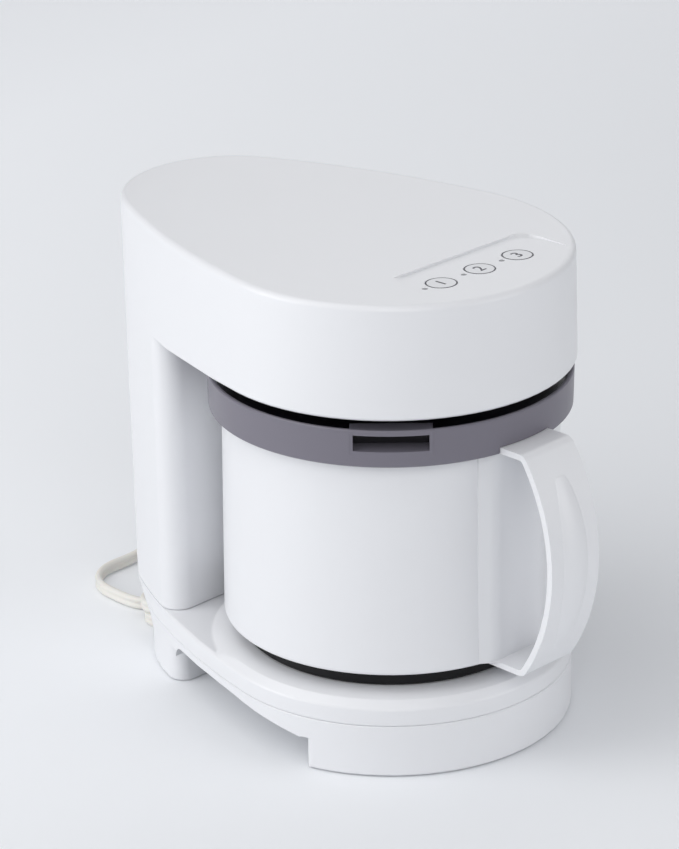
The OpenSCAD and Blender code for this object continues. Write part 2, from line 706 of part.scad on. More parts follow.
module arch_prism(grow) {
    translate([-1.5 * base_r, 0, 0]) rotate([90, 0, 90]) linear_extrude(3 * base_r) arch_profile(grow);
    for (side = [-1, 1]) {
        corner_gap(side * REAR_CORNER_X, rear_foot_front + FOOT_CORNER, FOOT_CORNER, grow,
            arch_h - ARCH_ROUND / 2);
        translate([0, grow, 0])
            corner_gap(side * FRONT_CORNER_X, -front_foot_back - FRONT_CORNER, FRONT_CORNER, grow,
                arch_h - ARCH_DROP + EDGE);
    }
}

PAN_T = 2;                          // thickness of the pan's floor and wall
pan_top = seam_h - SLIP;            // upper edge of the pan, just under the cover
PAD_GRIP = 0.8;                     // depth of the recess that a rubber pad is glued into
SCREW_DEPTH = 6;                    // depth of the base's screw heads below the seam
FRONT_PAD = [39, 54];               // a front pad's place, in from the base's side and forward
REAR_PAD = [15.5, 13];              // a rear pad's place, in from the rear curve's side and behind the arch
LAST_PAD = 40.5;                    // the rearmost pad's distance from the housing's rear
pad_places = concat([[0, column_front + column_depth - LAST_PAD, 0]],
    [for (x = [-1, 1]) each [[x * (base_r - FRONT_PAD[0]), -FRONT_PAD[1], 0],
        [x * (rear_r - REAR_PAD[0]), rear_foot_front + REAR_PAD[1], 0]]]);

module base_pan() {
    color("#efeff0") in_frame() difference() {
        union() {
            difference() {
                loft([lift(base_outline(pad_h, 1), pad_h), lift(base_outline(pad_h + 1, 0), pad_h + 1),
                    for (z = [foot_h, foot_h + 3, foot_h + 7])
                        lift(base_outline(z, 0), z),
                    lift(base_outline(pan_top - EDGE, 0), pan_top - EDGE),
                    lift(base_outline(pan_top, EDGE), pan_top)]);
                difference() {
                    loft([for (z = [pad_h + PAN_T, foot_h, foot_h + 7, seam_h, seam_h + 1])
                        lift(base_outline(min(z, seam_h), wall), z)]);
                    arch_prism(PAN_T);
                }
                arch_prism(0);
            }
            intersection() {
                at(screw_places) rod(BOSS_R, pad_h + EPS, pan_top);
                loft([lift(base_outline(pad_h, 2), pad_h), lift(base_outline(pad_h, 2), seam_h)]);
            }
        }
        at(screw_places) {
            rod(TAP_R + 0.5, pad_h - 1, seam_h + 1);
            rod(BOSS_R - 0.9, pad_h - 1, seam_h - SCREW_DEPTH);
        }
        at(pad_places) rod(pad_r + SLIP, pad_h - 1, pad_h + PAD_GRIP);
    }
}

module foot_pads() {
    color("#5a5b5e") in_frame() at(pad_places) rod(pad_r, 0, pad_h + PAD_GRIP);
}

module base_screws() {
    color("#c4c6ca") in_frame() at(screw_places) translate([0, 0, seam_h - SCREW_DEPTH]) mirror([0, 0, 1])
        translate([0, 0, EPS]) screw(TAP_R + 0.1 - TOUCH, boss_top - 1.5 - seam_h + SCREW_DEPTH,
            BOSS_R - 1.3, HEAD_T);
}

PLATE_BACK = 1.5;                   // thickness of the step under the hot plate
PLATE_STEP = 3;                     // how far that step stands in from the plate's edge
plate_under = seat_h - plate_t - PLATE_BACK;            // underside of the hot plate
element_z = plate_under - element_tube * 0.55;          // middle of the heating element's tube

module hot_plate() {
    color("#4a4c50") in_frame() difference() {
        union() {
            rod(plate_r, seat_h - plate_t, seat_h);
            rod(plate_r - PLATE_STEP, plate_under, seat_h - plate_t + EPS);
        }
        rotate_extrude() translate([element_r, element_z]) circle(r = element_tube + TOUCH + 0.03, $fn = 48);
    }
}

GASKET_T = 1.4;                     // thickness of the gasket's flange
gasket_in = plate_r - PLATE_STEP + 0.1;
// Rubber ring between the hot plate and the seat
module plate_gasket() {
    color("#2a2a2c") in_frame() difference() {
        union() {
            sleeve(plate_hole - TOUCH, gasket_in, cover_under - GASKET_T, seat_h - 0.2);
            sleeve(plate_hole + PLATE_STEP, gasket_in, cover_under - GASKET_T, cover_under - TOUCH);
        }
        rod(plate_r + TOUCH, cover_under - 0.6, seat_h);
    }
}

PIN_R = 1.6;                        // radius of the element's end pins
PIN_L = 12;

module heating_element() {
    color("#77797d") in_frame() {
        rotate([0, 0, 105]) rotate_extrude(angle = 330) translate([element_r, element_z])
            circle(r = element_tube, $fn = 48);
        for (a = [105, 75]) rotate(a) translate([element_r, 0, element_z])
            rotate([0, 90, 0]) cylinder(r = PIN_R, h = PIN_L);
    }
}

THERMOSTAT_R = 8;
THERMOSTAT_H = 6.4;
TAB = [0.8, 5, 3];                  // contact tab under the thermostat
FUSE_R = 2;
FUSE_L = 12;

module thermostat() {
    low = plate_under - THERMOSTAT_H;
    color("#cfcac0") in_frame() {
        rod(THERMOSTAT_R, low, plate_under - EPS);
        for (x = [-1, 1]) translate([x * TAB[1] - TAB[0] / 2, -TAB[1] / 2, low - 0.6 * TAB[2]]) cube(TAB);
    }
}

module thermal_fuse() {
    color("#b8a58c") in_frame() translate([-FUSE_L / 2, element_r - 16, plate_under - FUSE_R - EPS])
        rotate([0, 90, 0]) cylinder(r = FUSE_R, h = FUSE_L);
}

// ---- cord -------------------------------------------------------------------------------------

// Puts its children on the line across the rearmost point of the housing
module behind() {
    translate([0, column_front + column_depth - frame_y, 0]) children();
}

// Route of the cord's middle from the strain relief to the hank, and on from the hank to the plug
CORD_ROUTE = [[8, 19.2, 50], [10, 25.7, 47.5], [14.5, 31.7, 40], [20, 36.2, 29], [24.5, 39.7, 17],
    [24.5, 42.7, 8.5], [20, 44.2, 4.3], [10, 44.2, 3.5], [1, 44.2, 3.5], [-6, 42.7, 3.5],
    [-12.5, 38.7, 3.5], [-17, 33.2, 3.5], [-19.4, 26.2, 3.5], [-20, 18.2, 3.5], [-20, 10.2, 3.5],
    [-19, 3.7, 3.5], [-16, -1, 3.5], [-11, -3.2, 3.5]];
TAIL_ROUTE = [[78.6, -8.6, 10], [85, -6.8, 9.4], [91, -3.3, 7.6], [95, 2.2, 5.6], [96.5, 9.2, 5],
    [95, 16.2, 5], [90, 21.2, 5], [83, 22.7, 5]];
gland_x = CORD_ROUTE[0][0];
gland_z = CORD_ROUTE[0][2];
HANK_RUN = 86;                      // length of the hank's straight part
HANK_R = 12;                        // half its width
HANK_H = 14;                        // its height
HANK_AT = [-18.5, -15.35];          // middle of its left end
HANK_TURN = 4;                      // angle between the hank and the housing's rear
TIE_T = 0.8;                        // thickness of the tie round it
TIE_W = 5;                          // width of the tie

function unit(v) = v / norm(v);
// Direction of a route at its point i
function heading(p, i) = unit(p[min(i + 1, len(p) - 1)] - p[max(i - 1, 0)]);
// Flat section with 8 sides: wide across z, thin across the route
function cord_ring(p, i) =
    let (d = heading(p, i), side = unit(cross(d, [0, 0, 1])), up = cross(side, d))
    [for (q = [[-1, -0.55], [-0.6, -1], [0.6, -1], [1, -0.55], [1, 0.55], [0.6, 1], [-0.6, 1], [-1, 0.55]])
        p[i] + side * (q[0] * cord_t / 2) + up * (q[1] * cord_w / 2)];

module cord_tube(p) {
    n = 8;
    m = len(p);
    polyhedron(points = [for (i = [0:m - 1]) each cord_ring(p, i)], convexity = 8,
        faces = concat([[for (i = [0:n - 1]) i]], [for (k = [0:m - 2], i = [0:n - 1])
            let (a = k * n + i, b = k * n + (i + 1) % n) each [[a, a + n, b + n], [a, b + n, b]]],
            [[for (i = [n - 1:-1:0]) (m - 1) * n + i]]));
}

// Curve through a route's points, with extra points on every span
function smooth(p, n) = concat([for (i = [0:len(p) - 2], k = [0:n - 1])
    let (a = p[max(i - 1, 0)], b = p[i], c = p[i + 1], d = p[min(i + 2, len(p) - 1)], t = k / n)
    0.5 * (2 * b + (c - a) * t + (2 * a - 5 * b + 4 * c - d) * t ^ 2 + (3 * b - a - 3 * c + d) * t ^ 3)],
    [p[len(p) - 1]]);

module cord() { color("#e9e6dc") behind() cord_tube(smooth(CORD_ROUTE, 2)); }
module cord_tail() { color("#e9e6dc") behind() cord_tube(smooth(TAIL_ROUTE, 2)); }

module hank_frame() {
    behind() translate([HANK_AT[0], HANK_AT[1], 0]) rotate(HANK_TURN) children();
}

module cord_hank() {
    color("#e9e6dc") hank_frame() linear_extrude(HANK_H) hull() for (x = [0, HANK_RUN])
        translate([x, 0]) circle(r = HANK_R);
}

module cord_tie() {
    outer = HANK_R + TIE_T;
    inner = HANK_R + TOUCH;
    color("#d9dccb") hank_frame() difference() {
        translate([1, -outer, EPS]) cube([TIE_W, 2 * outer, HANK_H + TIE_T]);
        translate([0, -inner, -1]) cube([TIE_W + 2, 2 * inner, HANK_H + 1 + TOUCH]);
    }
}

GLAND_TIP = 4.2;                    // radius of the boot's thin end
GROOVE_W = 1.4;                     // width of a groove in the boot
GROOVE_PITCH = 4;

// Strain relief: a flange inside the wall, a neck through it and a tapering boot with grooves
module cord_gland() {
    rear = column_rear(gland_z, gland_x, 0);
    seat = column_rear(gland_z, gland_x + GLAND_FLANGE, wall) - rear - 0.05;
    tip = CORD_ROUTE[0][1] + column_front + column_depth - rear;
    color("#e4e1d6") in_frame() translate([gland_x, rear, gland_z]) rotate([-90, 0, 0]) difference() {
        union() {
            translate([0, 0, seat - HEAD_T]) cylinder(r = GLAND_FLANGE, h = HEAD_T);
            translate([0, 0, seat - 1]) cylinder(r = GLAND_R, h = 2.2 - seat);
            translate([0, 0, 1]) cylinder(r1 = GLAND_R, r2 = GLAND_TIP, h = tip - 1);
        }
        for (z = [1.5 * GROOVE_PITCH:GROOVE_PITCH:tip - GROOVE_PITCH]) translate([0, 0, z])
            sleeve(2 * GLAND_R, GLAND_TIP - FIT, 0, GROOVE_W);
    }
}

PLUG = [16, 22, 16];                // block of the plug
PLUG_NECK = 6;                      // length of the neck between the block and the cord
BLADE = [16.5, 1.5, 6.3];           // blade of the plug
BLADE_PITCH = 12.7;                 // distance between the two blades
PLUG_AT = TAIL_ROUTE[len(TAIL_ROUTE) - 1];      // where the cord meets the plug

// Moulded plug whose blades point to -X
module plug_body() {
    color("#e4e1d6") behind() translate([PLUG_AT[0] - PLUG_NECK, PLUG_AT[1], 0]) {
        translate([-PLUG[0], -PLUG[1] / 2, 0]) cube(PLUG);
        translate([-EPS, 0, PLUG_AT[2]]) rotate([0, 90, 0])
            cylinder(r1 = PLUG_AT[2], r2 = GLAND_TIP, h = PLUG_NECK);
    }
}

// Two flat blades with a hole each
module plug_blades() {
    color("#c9b267") behind() translate([PLUG_AT[0] - PLUG_NECK - PLUG[0], PLUG_AT[1], PLUG[2] / 2])
        for (y = [-0.5, 0.5]) translate([-BLADE[0], y * BLADE_PITCH, 0]) difference() {
            translate([0, -BLADE[1] / 2, -BLADE[2] / 2]) cube(BLADE);
            translate([3, -BLADE[1], 0]) rotate([-90, 0, 0]) cylinder(r = BLADE[2] / 4, h = 2 * BLADE[1]);
        }
}

// ---- jug --------------------------------------------------------------------------------------

rim_z = ring_z + 4.5;               // top of the jug's wall, inside the lid ring
pot_floor = seat_h + FIT;           // underside of the pot
POT_FLANGE = 1;                     // thickness of the pot's rim flange
flange_top = rim_z + POT_FLANGE;
JUG_LIP = 2;                        // radius of the jug wall's lower edge
ROOT_TAP = 1.5;                     // bore in the handle's root for a screw

module jug_shell() {
    inner = foot_ring_r + SLIP;
    floor_z = jug_z + jug_wall;
    color("#f3f3f4") in_frame() difference() {
        rotate_extrude() polygon(concat([[inner, floor_z], [inner, jug_z]],
            arc(jug_r_bottom - JUG_LIP, jug_z + JUG_LIP, JUG_LIP, -90, 0, 6),
            [[jug_r_top, ring_z], [jug_r_top, rim_z], [jug_r_top - jug_wall, rim_z],
             [jug_r_bottom - jug_wall, floor_z]]));
        at(root_screws) translate([0, -jug_r_top - 2 * jug_wall, 0]) rotate([-90, 0, 0])
            cylinder(r = ROOT_TAP + 0.6, h = 5 * jug_wall);
    }
}

POT_BEND = 8;                       // radius between the pot's floor and its wall
module inner_pot() {
    r = pot_r;
    edge = jug_r_top - 0.8;
    color("#b9bcc0") in_frame() rotate_extrude() polygon(concat([[0, pot_floor]],
        arc(r - POT_BEND, pot_floor + POT_BEND, POT_BEND, -90, 0, 8),
        [[r, rim_z - 2], [r + 2, rim_z], [edge, rim_z], [edge, flange_top],
         [r + 1.2, flange_top], [r - pot_wall, rim_z - 1.4]],
        arc(r - POT_BEND, pot_floor + POT_BEND, POT_BEND - pot_wall, 0, -90, 8),
        [[0, pot_floor + pot_wall]]));
}

// Black ring that the jug stands on, with a flange that carries the jug's wall
module jug_foot() {
    low = jug_z + jug_wall + SLIP;
    high = low + 2;
    color("#1b1b1d") in_frame() rotate_extrude() polygon([[pot_r + FIT, seat_h + FIT],
        [foot_ring_r - 1, seat_h + FIT], [foot_ring_r, seat_h + FIT + 1], [foot_ring_r, low],
        [foot_ring_r + 3, low], [foot_ring_r + 3, high], [pot_r + FIT, high]]);
}

root_screws = [for (z = [0.215, 0.8]) [0, 0, jug_z + z * jug_h]];
plate_top = ring_z + handle_t;      // top of the handle's upper plate
plate_bottom = jug_z - 0.9;         // underside of the handle's lower end

LOOP_CORNER = 5;                    // outer radius of the loop's corners
ROOT_HALF = 22;                     // half the width of the root where it lies against the jug
SPINE_ARC = 31;                     // half the angle of the grip's outer crown
SPINE_TURN = 80;                    // radius about which that crown is turned
PALM_ARC = 24;                      // the same for the crown on the grip's inner side
PALM_TURN = 98;
PALM_H = 3;
PALM_W = 20;

// Side outline of the handle's loop, with reach across and height up
function loop_outline(inset, corner) =
    let (cu = handle_reach - bow_r, cz = jug_z + bow_rise, r = bow_r - inset, top = plate_top - inset,
        low = plate_bottom + inset,
        u1 = cu + sqrt((r - corner) ^ 2 - (top - corner - cz) ^ 2),
        u2 = cu + sqrt((r - corner) ^ 2 - (low + corner - cz) ^ 2),
        a1 = atan2(top - corner - cz, u1 - cu), a2 = atan2(low + corner - cz, u2 - cu))
    concat([[jug_r_top - 2, top]], arc(u1, top - corner, corner, 90, a1, 6),
        tail(arc(cu, cz, r, a1, a2, 28)), tail(arc(u2, low + corner, corner, a2, -90, 6)),
        [[jug_r_top - 2, low]]);

// Turns a profile drawn with reach across and height up so that it reaches forward
module forward(width) {
    rotate([90, 0, -90]) translate([0, 0, -width / 2]) linear_extrude(width) children();
}

// Crowned rib along the bow: a ring section about the bow's axis, cut off at its ends
module spine(r_bow, turn, height, width, side, reach) {
    cz = jug_z + bow_rise;
    shape = ((width / 2) ^ 2 + height ^ 2) / (2 * height);
    translate([0, turn - r_bow - side * height, cz]) rotate([90, 0, -90]) rotate([0, 0, -reach])
        rotate_extrude(angle = 2 * reach) intersection() {
            translate([turn - side * shape, 0]) circle(r = shape);
            translate([side > 0 ? turn - height - 0.5 : turn - 0.5, -width / 2 - 2])
                square([height + 1, width + 4]);
        }
}

module handle() {
    color("#f1f1f2") in_frame() difference() {
        union() {
            difference() {
                forward(handle_w) polygon(loop_outline(0, LOOP_CORNER));
                forward(handle_w + 2) polygon(loop_outline(handle_t, LOOP_CORNER - handle_t + 0.2));
            }
            slab(jug_z + 1, ring_z) polygon([[-ROOT_HALF, 9 - root_front], [-ROOT_HALF, 5 - root_front],
                [-handle_w / 2, -root_front], [handle_w / 2, -root_front],
                [ROOT_HALF, 5 - root_front], [ROOT_HALF, 9 - root_front]]);
            spine(handle_reach, SPINE_TURN, crown_h, crown_w, 1, SPINE_ARC);
            spine(handle_reach - handle_t, PALM_TURN, PALM_H, PALM_W, -1, PALM_ARC);
        }
        rod(jug_r_top + TOUCH, rim_z - 6, rim_z + 10);
        translate([0, 0, jug_z + JUG_LIP]) cylinder(r1 = jug_r_bottom + TOUCH, r2 = jug_r_top + TOUCH,
            h = ring_z - jug_z - JUG_LIP);
        rod(jug_r_bottom + TOUCH, jug_z, jug_z + JUG_LIP + EPS);
        rod(jug_r_bottom - JUG_LIP, jug_z - 5, jug_z + 1);
        at(root_screws) translate([0, 1 - root_front, 0]) rotate([-90, 0, 0])
            cylinder(r = ROOT_TAP, h = root_out + 8);
    }
}

module handle_screws() {
    color("#c4c6ca") in_frame() at(root_screws) translate([0, -jug_r_top + jug_wall + 0.6, 0])
        rotate([-90, 0, 0]) screw(ROOT_TAP - TOUCH, jug_wall + root_out - 0.7, 2 * ROOT_TAP + 0.4, HEAD_T);
}

// ---- lid --------------------------------------------------------------------------------------

ring_in = jug_r_top + FIT;          // inside of the ring round the jug's wall
step_z = flange_top + 2.1;          // step in the ring that carries the lid's plate
wall_in = lid_r - 2.9;              // inside of the ring above the step
lid_top = ring_top - lid_sink;      // upper face of the lid's plate
window_z = ring_z + window_rise;
POCKET_D = 10;                      // depth of the window's pocket, inwards from the ring
POCKET_WALL = 1.5;                  // wall of that pocket
STEAM_BACK = 56;                    // distance from the jug's axis back to the steam slot

// Block on the window's bearing, from one radius to another
module window_block(r0, r1, width, z0, z1) {
    rotate(window_bearing) translate([r0, -width / 2, z0]) cube([r1 - r0, width, z1 - z0]);
}

module lid_ring() {
    color("#77757d") in_frame() difference() {
        union() {
            rotate_extrude() polygon([[ring_in, ring_z + 0.4], [ring_in + 0.4, ring_z], [lid_r - 0.7, ring_z],
                [lid_r - 0.3, ring_z + 0.4], [lid_r, ring_top - 0.6], [lid_r - 0.5, ring_top],
                [lid_r - 1.5, ring_top], [lid_r - 1.7, ring_top - 1.4], [wall_in, ring_top - 1.6],
                [wall_in, step_z], [ring_in, step_z]]);
            window_block(wall_in - POCKET_D, wall_in + 1, window_w + 2 * POCKET_WALL, flange_top + 0.4,
                window_z + window_h + 1);
        }
        window_block(wall_in - POCKET_D + POCKET_WALL, lid_r + 2, window_w, window_z, window_z + window_h);
        translate([-handle_w / 2 - FIT, -lid_r - 2, ring_z - 1])
            cube([handle_w + 2 * FIT, 2 * ring_out, plate_top - ring_z + 1 + FIT]);
    }
}

BOSS_OUT = 11;                      // radius of the boss round the shaft
BOSS_RISE = 2.6;                    // height of that boss
DRIP_R = 46;                        // radius of the drip rib on the lid's plate
DRIP_W = 1.2;                       // its width and height
module lid_plate() {
    color("#17171a") in_frame() difference() {
        union() {
            rod(wall_in - SLIP, step_z + TOUCH, lid_top);
            rod(BOSS_OUT, lid_top - EPS, lid_top + BOSS_RISE);
            sleeve(DRIP_R, DRIP_R - DRIP_W, lid_top - EPS, lid_top + DRIP_W);
        }
        rod(shaft_r + 1, step_z - 1, lid_top + BOSS_RISE + 1);
        window_block(wall_in - POCKET_D - SLIP, lid_r, window_w + 2 * (POCKET_WALL + SLIP), step_z - 1,
            lid_top + 2);
        hull() for (x = [-1, 1]) translate([x * (steam_l - steam_w) / 2, STEAM_BACK, 0])
            rod(steam_w / 2, step_z - 1, lid_top + 1);
    }
}

SEAL_IN = 3.5;                      // distance from the seal's edge to the jug's outside
module lid_seal() {
    color("#5b5c60") in_frame() difference() {
        sleeve(jug_r_top - SEAL_IN, pot_r + SEAL_IN + 0.5, flange_top + TOUCH, step_z);
        window_block(wall_in - POCKET_D - 1, lid_r, window_w + 5, flange_top + 0.3, step_z + 1);
        sleeve(jug_r_top - SEAL_IN - 2, pot_r + SEAL_IN + 3, flange_top + 0.8, flange_top + 1.3);
    }
}

cutter_z = pot_floor + pot_wall + cutter_rise;      // underside of the cutter
BUSH_OUT = shaft_r + 2.5;           // outer radius of the shaft's bushes
TUBE_R = BUSH_OUT + 1.8;            // outer radius of the tube round them
BUSH_L = 9;
TUBE_FLANGE = 15;                   // radius of the tube's flange under the lid
FLANGE_T = 2;
FLARE_H = 8;                        // height of the flare between the tube and its flange
tube_low = cutter_z + BUSH_L;
hub_z = lid_top + 3.2;              // underside of the tongue's disc
HUB_GRIP = 3;                       // depth of the shaft's end in that disc
TONGUE_DISC = 12;                   // radius of that disc
disc_top = driver_z - EDGE;
STUD_R = 2.5;                       // radius of the shaft's end that takes the cutter
STUD_L = 5;

module shaft_tube() {
    color("#c5c7ca") in_frame() difference() {
        union() {
            rod(TUBE_R, tube_low, step_z);
            rod(TUBE_FLANGE, step_z - FLANGE_T, step_z);
            translate([0, 0, step_z - FLANGE_T - FLARE_H])
                cylinder(r1 = TUBE_R, r2 = TUBE_FLANGE - FLANGE_T, h = FLARE_H + TOUCH);
        }
        rod(BUSH_OUT, tube_low - 1, step_z + 1);
    }
}

module shaft_bushes() {
    color("#d8c9a3") in_frame() for (z = [tube_low, step_z - BUSH_L])
        sleeve(BUSH_OUT - EPS, shaft_r + run_gap, z, z + BUSH_L);
}

module cutter_shaft() {
    color("#cfd1d4") in_frame() {
        rod(shaft_r, cutter_z + 2, hub_z + HUB_GRIP);
        rod(STUD_R, cutter_z - STUD_L, cutter_z + 2 + EPS);
    }
}

BLADE_T = 1.4;                      // thickness of the cutter's blades
CUTTER_DISC = 8;                    // radius of the cutter's middle
WING_W = 5;                         // half the width of a wing

module cutter_wing(reach, tilt) {
    rotate([tilt, 0, 0]) linear_extrude(BLADE_T) polygon([[WING_W, -WING_W], [reach * 0.55, -1.3 * WING_W],
        [reach, -0.2 * WING_W], [reach - 1, WING_W / 2], [reach / 2, WING_W], [WING_W, WING_W]]);
}

module cutter_blade() {
    color("#d5d7d9") in_frame() difference() {
        translate([0, 0, cutter_z]) union() {
            cylinder(r = CUTTER_DISC, h = BLADE_T + 0.4);
            for (a = [0, 180]) rotate(a) cutter_wing(cutter_r, 8);
            for (a = [90, 270]) rotate(a) cutter_wing(cutter_r * 0.82, -14);
        }
        rod(STUD_R + TOUCH, cutter_z - STUD_L, cutter_z + STUD_L);
    }
}

NUT_R = 4.6;
NUT_H = 4.1;

module cutter_nut() {
    color("#b9bbbf") in_frame() difference() {
        translate([0, 0, cutter_z - NUT_H - 0.1]) cylinder(r = NUT_R, h = NUT_H, $fn = 6);
        rod(STUD_R + TOUCH, cutter_z - 2 * NUT_H, cutter_z + 1);
    }
}

module drive_tongue() {
    color("#2b2c2f") in_frame() difference() {
        union() {
            rod(TONGUE_DISC, hub_z, disc_top);
            intersection() {
                translate([-tongue_t / 2, -tongue_l / 2, disc_top - EPS])
                    cube([tongue_t, tongue_l, slot_top - 0.4 - disc_top]);
                rod(tongue_l / 2, disc_top - 1, slot_top);
            }
        }
        rod(shaft_r + TOUCH, hub_z - 1, hub_z + HUB_GRIP);
    }
}

housing_shell();
head_underside();
button_left();
button_middle();
button_right();
indicator_lights();
control_board();
motor_plate();
motor_can();
motor_bearings();
motor_screws();
motor_shaft();
rotor_core();
cooling_fan();
driver_hub();
power_board();
board_screws();
base_cover();
base_pan();
foot_pads();
base_screws();
hot_plate();
plate_gasket();
heating_element();
thermostat();
thermal_fuse();
cord_gland();
cord();
cord_hank();
cord_tail();
cord_tie();
plug_body();
plug_blades();
jug_shell();
inner_pot();
jug_foot();
handle();
handle_screws();
lid_ring();
lid_plate();
lid_seal();
shaft_tube();
shaft_bushes();
cutter_shaft();
cutter_blade();
cutter_nut();
drive_tongue();
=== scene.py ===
"""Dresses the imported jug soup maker: camera, mains lead, moulded skins, finishes, figures and studio light."""
import json
import logging
import math
from dataclasses import dataclass, field
from enum import Enum
from typing import Iterable, Optional, Sequence

import bmesh
import bpy
from mathutils import Matrix, Vector

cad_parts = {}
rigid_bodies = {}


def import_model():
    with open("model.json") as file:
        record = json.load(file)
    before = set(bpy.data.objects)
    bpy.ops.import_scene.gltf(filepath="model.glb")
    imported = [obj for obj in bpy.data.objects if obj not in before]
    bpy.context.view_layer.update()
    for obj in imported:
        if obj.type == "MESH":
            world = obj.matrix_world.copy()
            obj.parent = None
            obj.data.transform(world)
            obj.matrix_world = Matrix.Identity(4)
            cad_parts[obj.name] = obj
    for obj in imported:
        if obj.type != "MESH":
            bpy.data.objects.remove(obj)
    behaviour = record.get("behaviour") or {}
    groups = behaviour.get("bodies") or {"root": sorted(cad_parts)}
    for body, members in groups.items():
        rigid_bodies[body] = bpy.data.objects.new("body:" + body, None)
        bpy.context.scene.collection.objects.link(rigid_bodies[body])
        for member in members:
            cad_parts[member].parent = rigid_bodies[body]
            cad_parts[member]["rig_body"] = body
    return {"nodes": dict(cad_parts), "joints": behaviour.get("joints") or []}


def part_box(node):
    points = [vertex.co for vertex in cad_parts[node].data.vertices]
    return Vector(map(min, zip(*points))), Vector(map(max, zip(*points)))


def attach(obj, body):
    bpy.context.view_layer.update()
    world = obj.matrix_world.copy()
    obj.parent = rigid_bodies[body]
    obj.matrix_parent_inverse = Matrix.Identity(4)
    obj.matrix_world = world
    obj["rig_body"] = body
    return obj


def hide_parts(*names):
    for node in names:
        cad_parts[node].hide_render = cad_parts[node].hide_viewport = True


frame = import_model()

LOG = logging.getLogger("soup_maker")
MM = 0.001
WELD = 0.00002              # points nearer than this are one point, in metres
MEET = 0.000001             # the same where a shape closes on itself
FLAT_TURN = 0.3             # faces that turn by less than this many degrees are one face
DRIFT_MM = 55.0             # distance over which a finish's colour drifts
SPOT_MM = 12.0              # distance over which its gloss varies


def linear(colour: str) -> tuple[float, float, float, float]:
    """Turn an sRGB hex colour into linear light.

    Args:
        colour: Six hex digits, with or without a leading #.

    Returns:
        Red, green, blue and an alpha of 1.
    """
    digits = colour.lstrip("#")
    parts = [int(digits[i:i + 2], 16) / 255 for i in (0, 2, 4)]
    light = [c / 12.92 if c <= 0.04045 else ((c + 0.055) / 1.055) ** 2.4 for c in parts]
    return (light[0], light[1], light[2], 1.0)


def add_node(tree: bpy.types.NodeTree, kind: str, inputs: Optional[dict] = None, **settings) -> bpy.types.Node:
    """Add a node with its settings and its inputs.

    Args:
        tree: Node tree that takes the node.
        kind: Blender's identifier of the node type.
        inputs: Socket name or number, with a value or the output socket that is linked to it.
        settings: Properties of the node itself.

    Returns:
        The new node.
    """
    node = tree.nodes.new(kind)
    for key, value in settings.items():
        setattr(node, key, value)
    for key, value in (inputs or {}).items():
        socket = node.inputs[key]
        if isinstance(value, bpy.types.NodeSocket):
            tree.links.new(value, socket)
        else:
            socket.default_value = value
    return node


# ---- finishes -----------------------------------------------------------------------------------


@dataclass(frozen=True)
class Surface:
    """What every finish shares: a colour, a gloss and a fine relief with real sizes in millimetres."""

    title: str
    slot: str
    colour: str
    roughness: float
    grain_mm: float
    grain_depth_mm: float
    drift: float = 0.03
    ior: float = 1.5

    def drifting_colour(self, tree: bpy.types.NodeTree, place: bpy.types.NodeSocket) -> bpy.types.NodeSocket:
        """Colour that drifts a little over some centimetres, as a moulded or rolled surface does.

        Args:
            tree: Node tree of the material.
            place: Object coordinates.

        Returns:
            The colour's output socket.
        """
        cloud = add_node(tree, "ShaderNodeTexNoise", {"Vector": place, "Scale": 1 / (DRIFT_MM * MM), "Detail": 2.0})
        base = linear(self.colour)
        dark = tuple(c * (1 - self.drift) for c in base[:3]) + (1.0,)
        ramp = add_node(tree, "ShaderNodeMix", {"Factor": cloud.outputs["Fac"]}, data_type="RGBA")
        ramp.inputs[6].default_value = dark
        ramp.inputs[7].default_value = base
        return ramp.outputs[2]

    def drifting_gloss(self, tree: bpy.types.NodeTree, place: bpy.types.NodeSocket) -> bpy.types.NodeSocket:
        """Roughness that varies a little from spot to spot.

        Args:
            tree: Node tree of the material.
            place: Object coordinates.

        Returns:
            The roughness output socket.
        """
        spots = add_node(tree, "ShaderNodeTexNoise", {"Vector": place, "Scale": 1 / (SPOT_MM * MM), "Detail": 3.0})
        spread = add_node(tree, "ShaderNodeMapRange", {
            "Value": spots.outputs["Fac"], "To Min": self.roughness * 0.9, "To Max": min(1.0, self.roughness * 1.1)})
        return spread.outputs["Result"]

    def relief(self, tree: bpy.types.NodeTree, place: bpy.types.NodeSocket) -> bpy.types.NodeSocket:
        """Fine relief of the surface, drawn no finer than the render can show.

        Args:
            tree: Node tree of the material.
            place: Object coordinates.

        Returns:
            The normal output socket.
        """
        grain = add_node(tree, "ShaderNodeTexNoise", {
            "Vector": place, "Scale": 1 / (self.grain_mm * MM), "Detail": 2.0})
        bump = add_node(tree, "ShaderNodeBump", {
            "Height": grain.outputs["Fac"], "Strength": 0.35, "Distance": self.grain_depth_mm * MM})
        return bump.outputs["Normal"]

    def shade(self, shader: bpy.types.Node) -> None:
        """Set what is the same all over the surface on the shader's own sockets."""
        shader.inputs["IOR"].default_value = self.ior

    def build(self) -> bpy.types.Material:
        """Make the material once and give it back on later calls.

        Returns:
            The Blender material.
        """
        known = bpy.data.materials.get(self.title)
        if known is not None:
            return known
        material = bpy.data.materials.new(self.title)
        material.use_nodes = True
        tree = material.node_tree
        tree.nodes.clear()
        place = add_node(tree, "ShaderNodeTexCoord").outputs["Object"]
        shader = add_node(tree, "ShaderNodeBsdfPrincipled", {
            "Base Color": self.drifting_colour(tree, place), "Roughness": self.drifting_gloss(tree, place),
            "Normal": self.relief(tree, place)})
        self.shade(shader)
        add_node(tree, "ShaderNodeOutputMaterial", {"Surface": shader.outputs["BSDF"]})
        return material


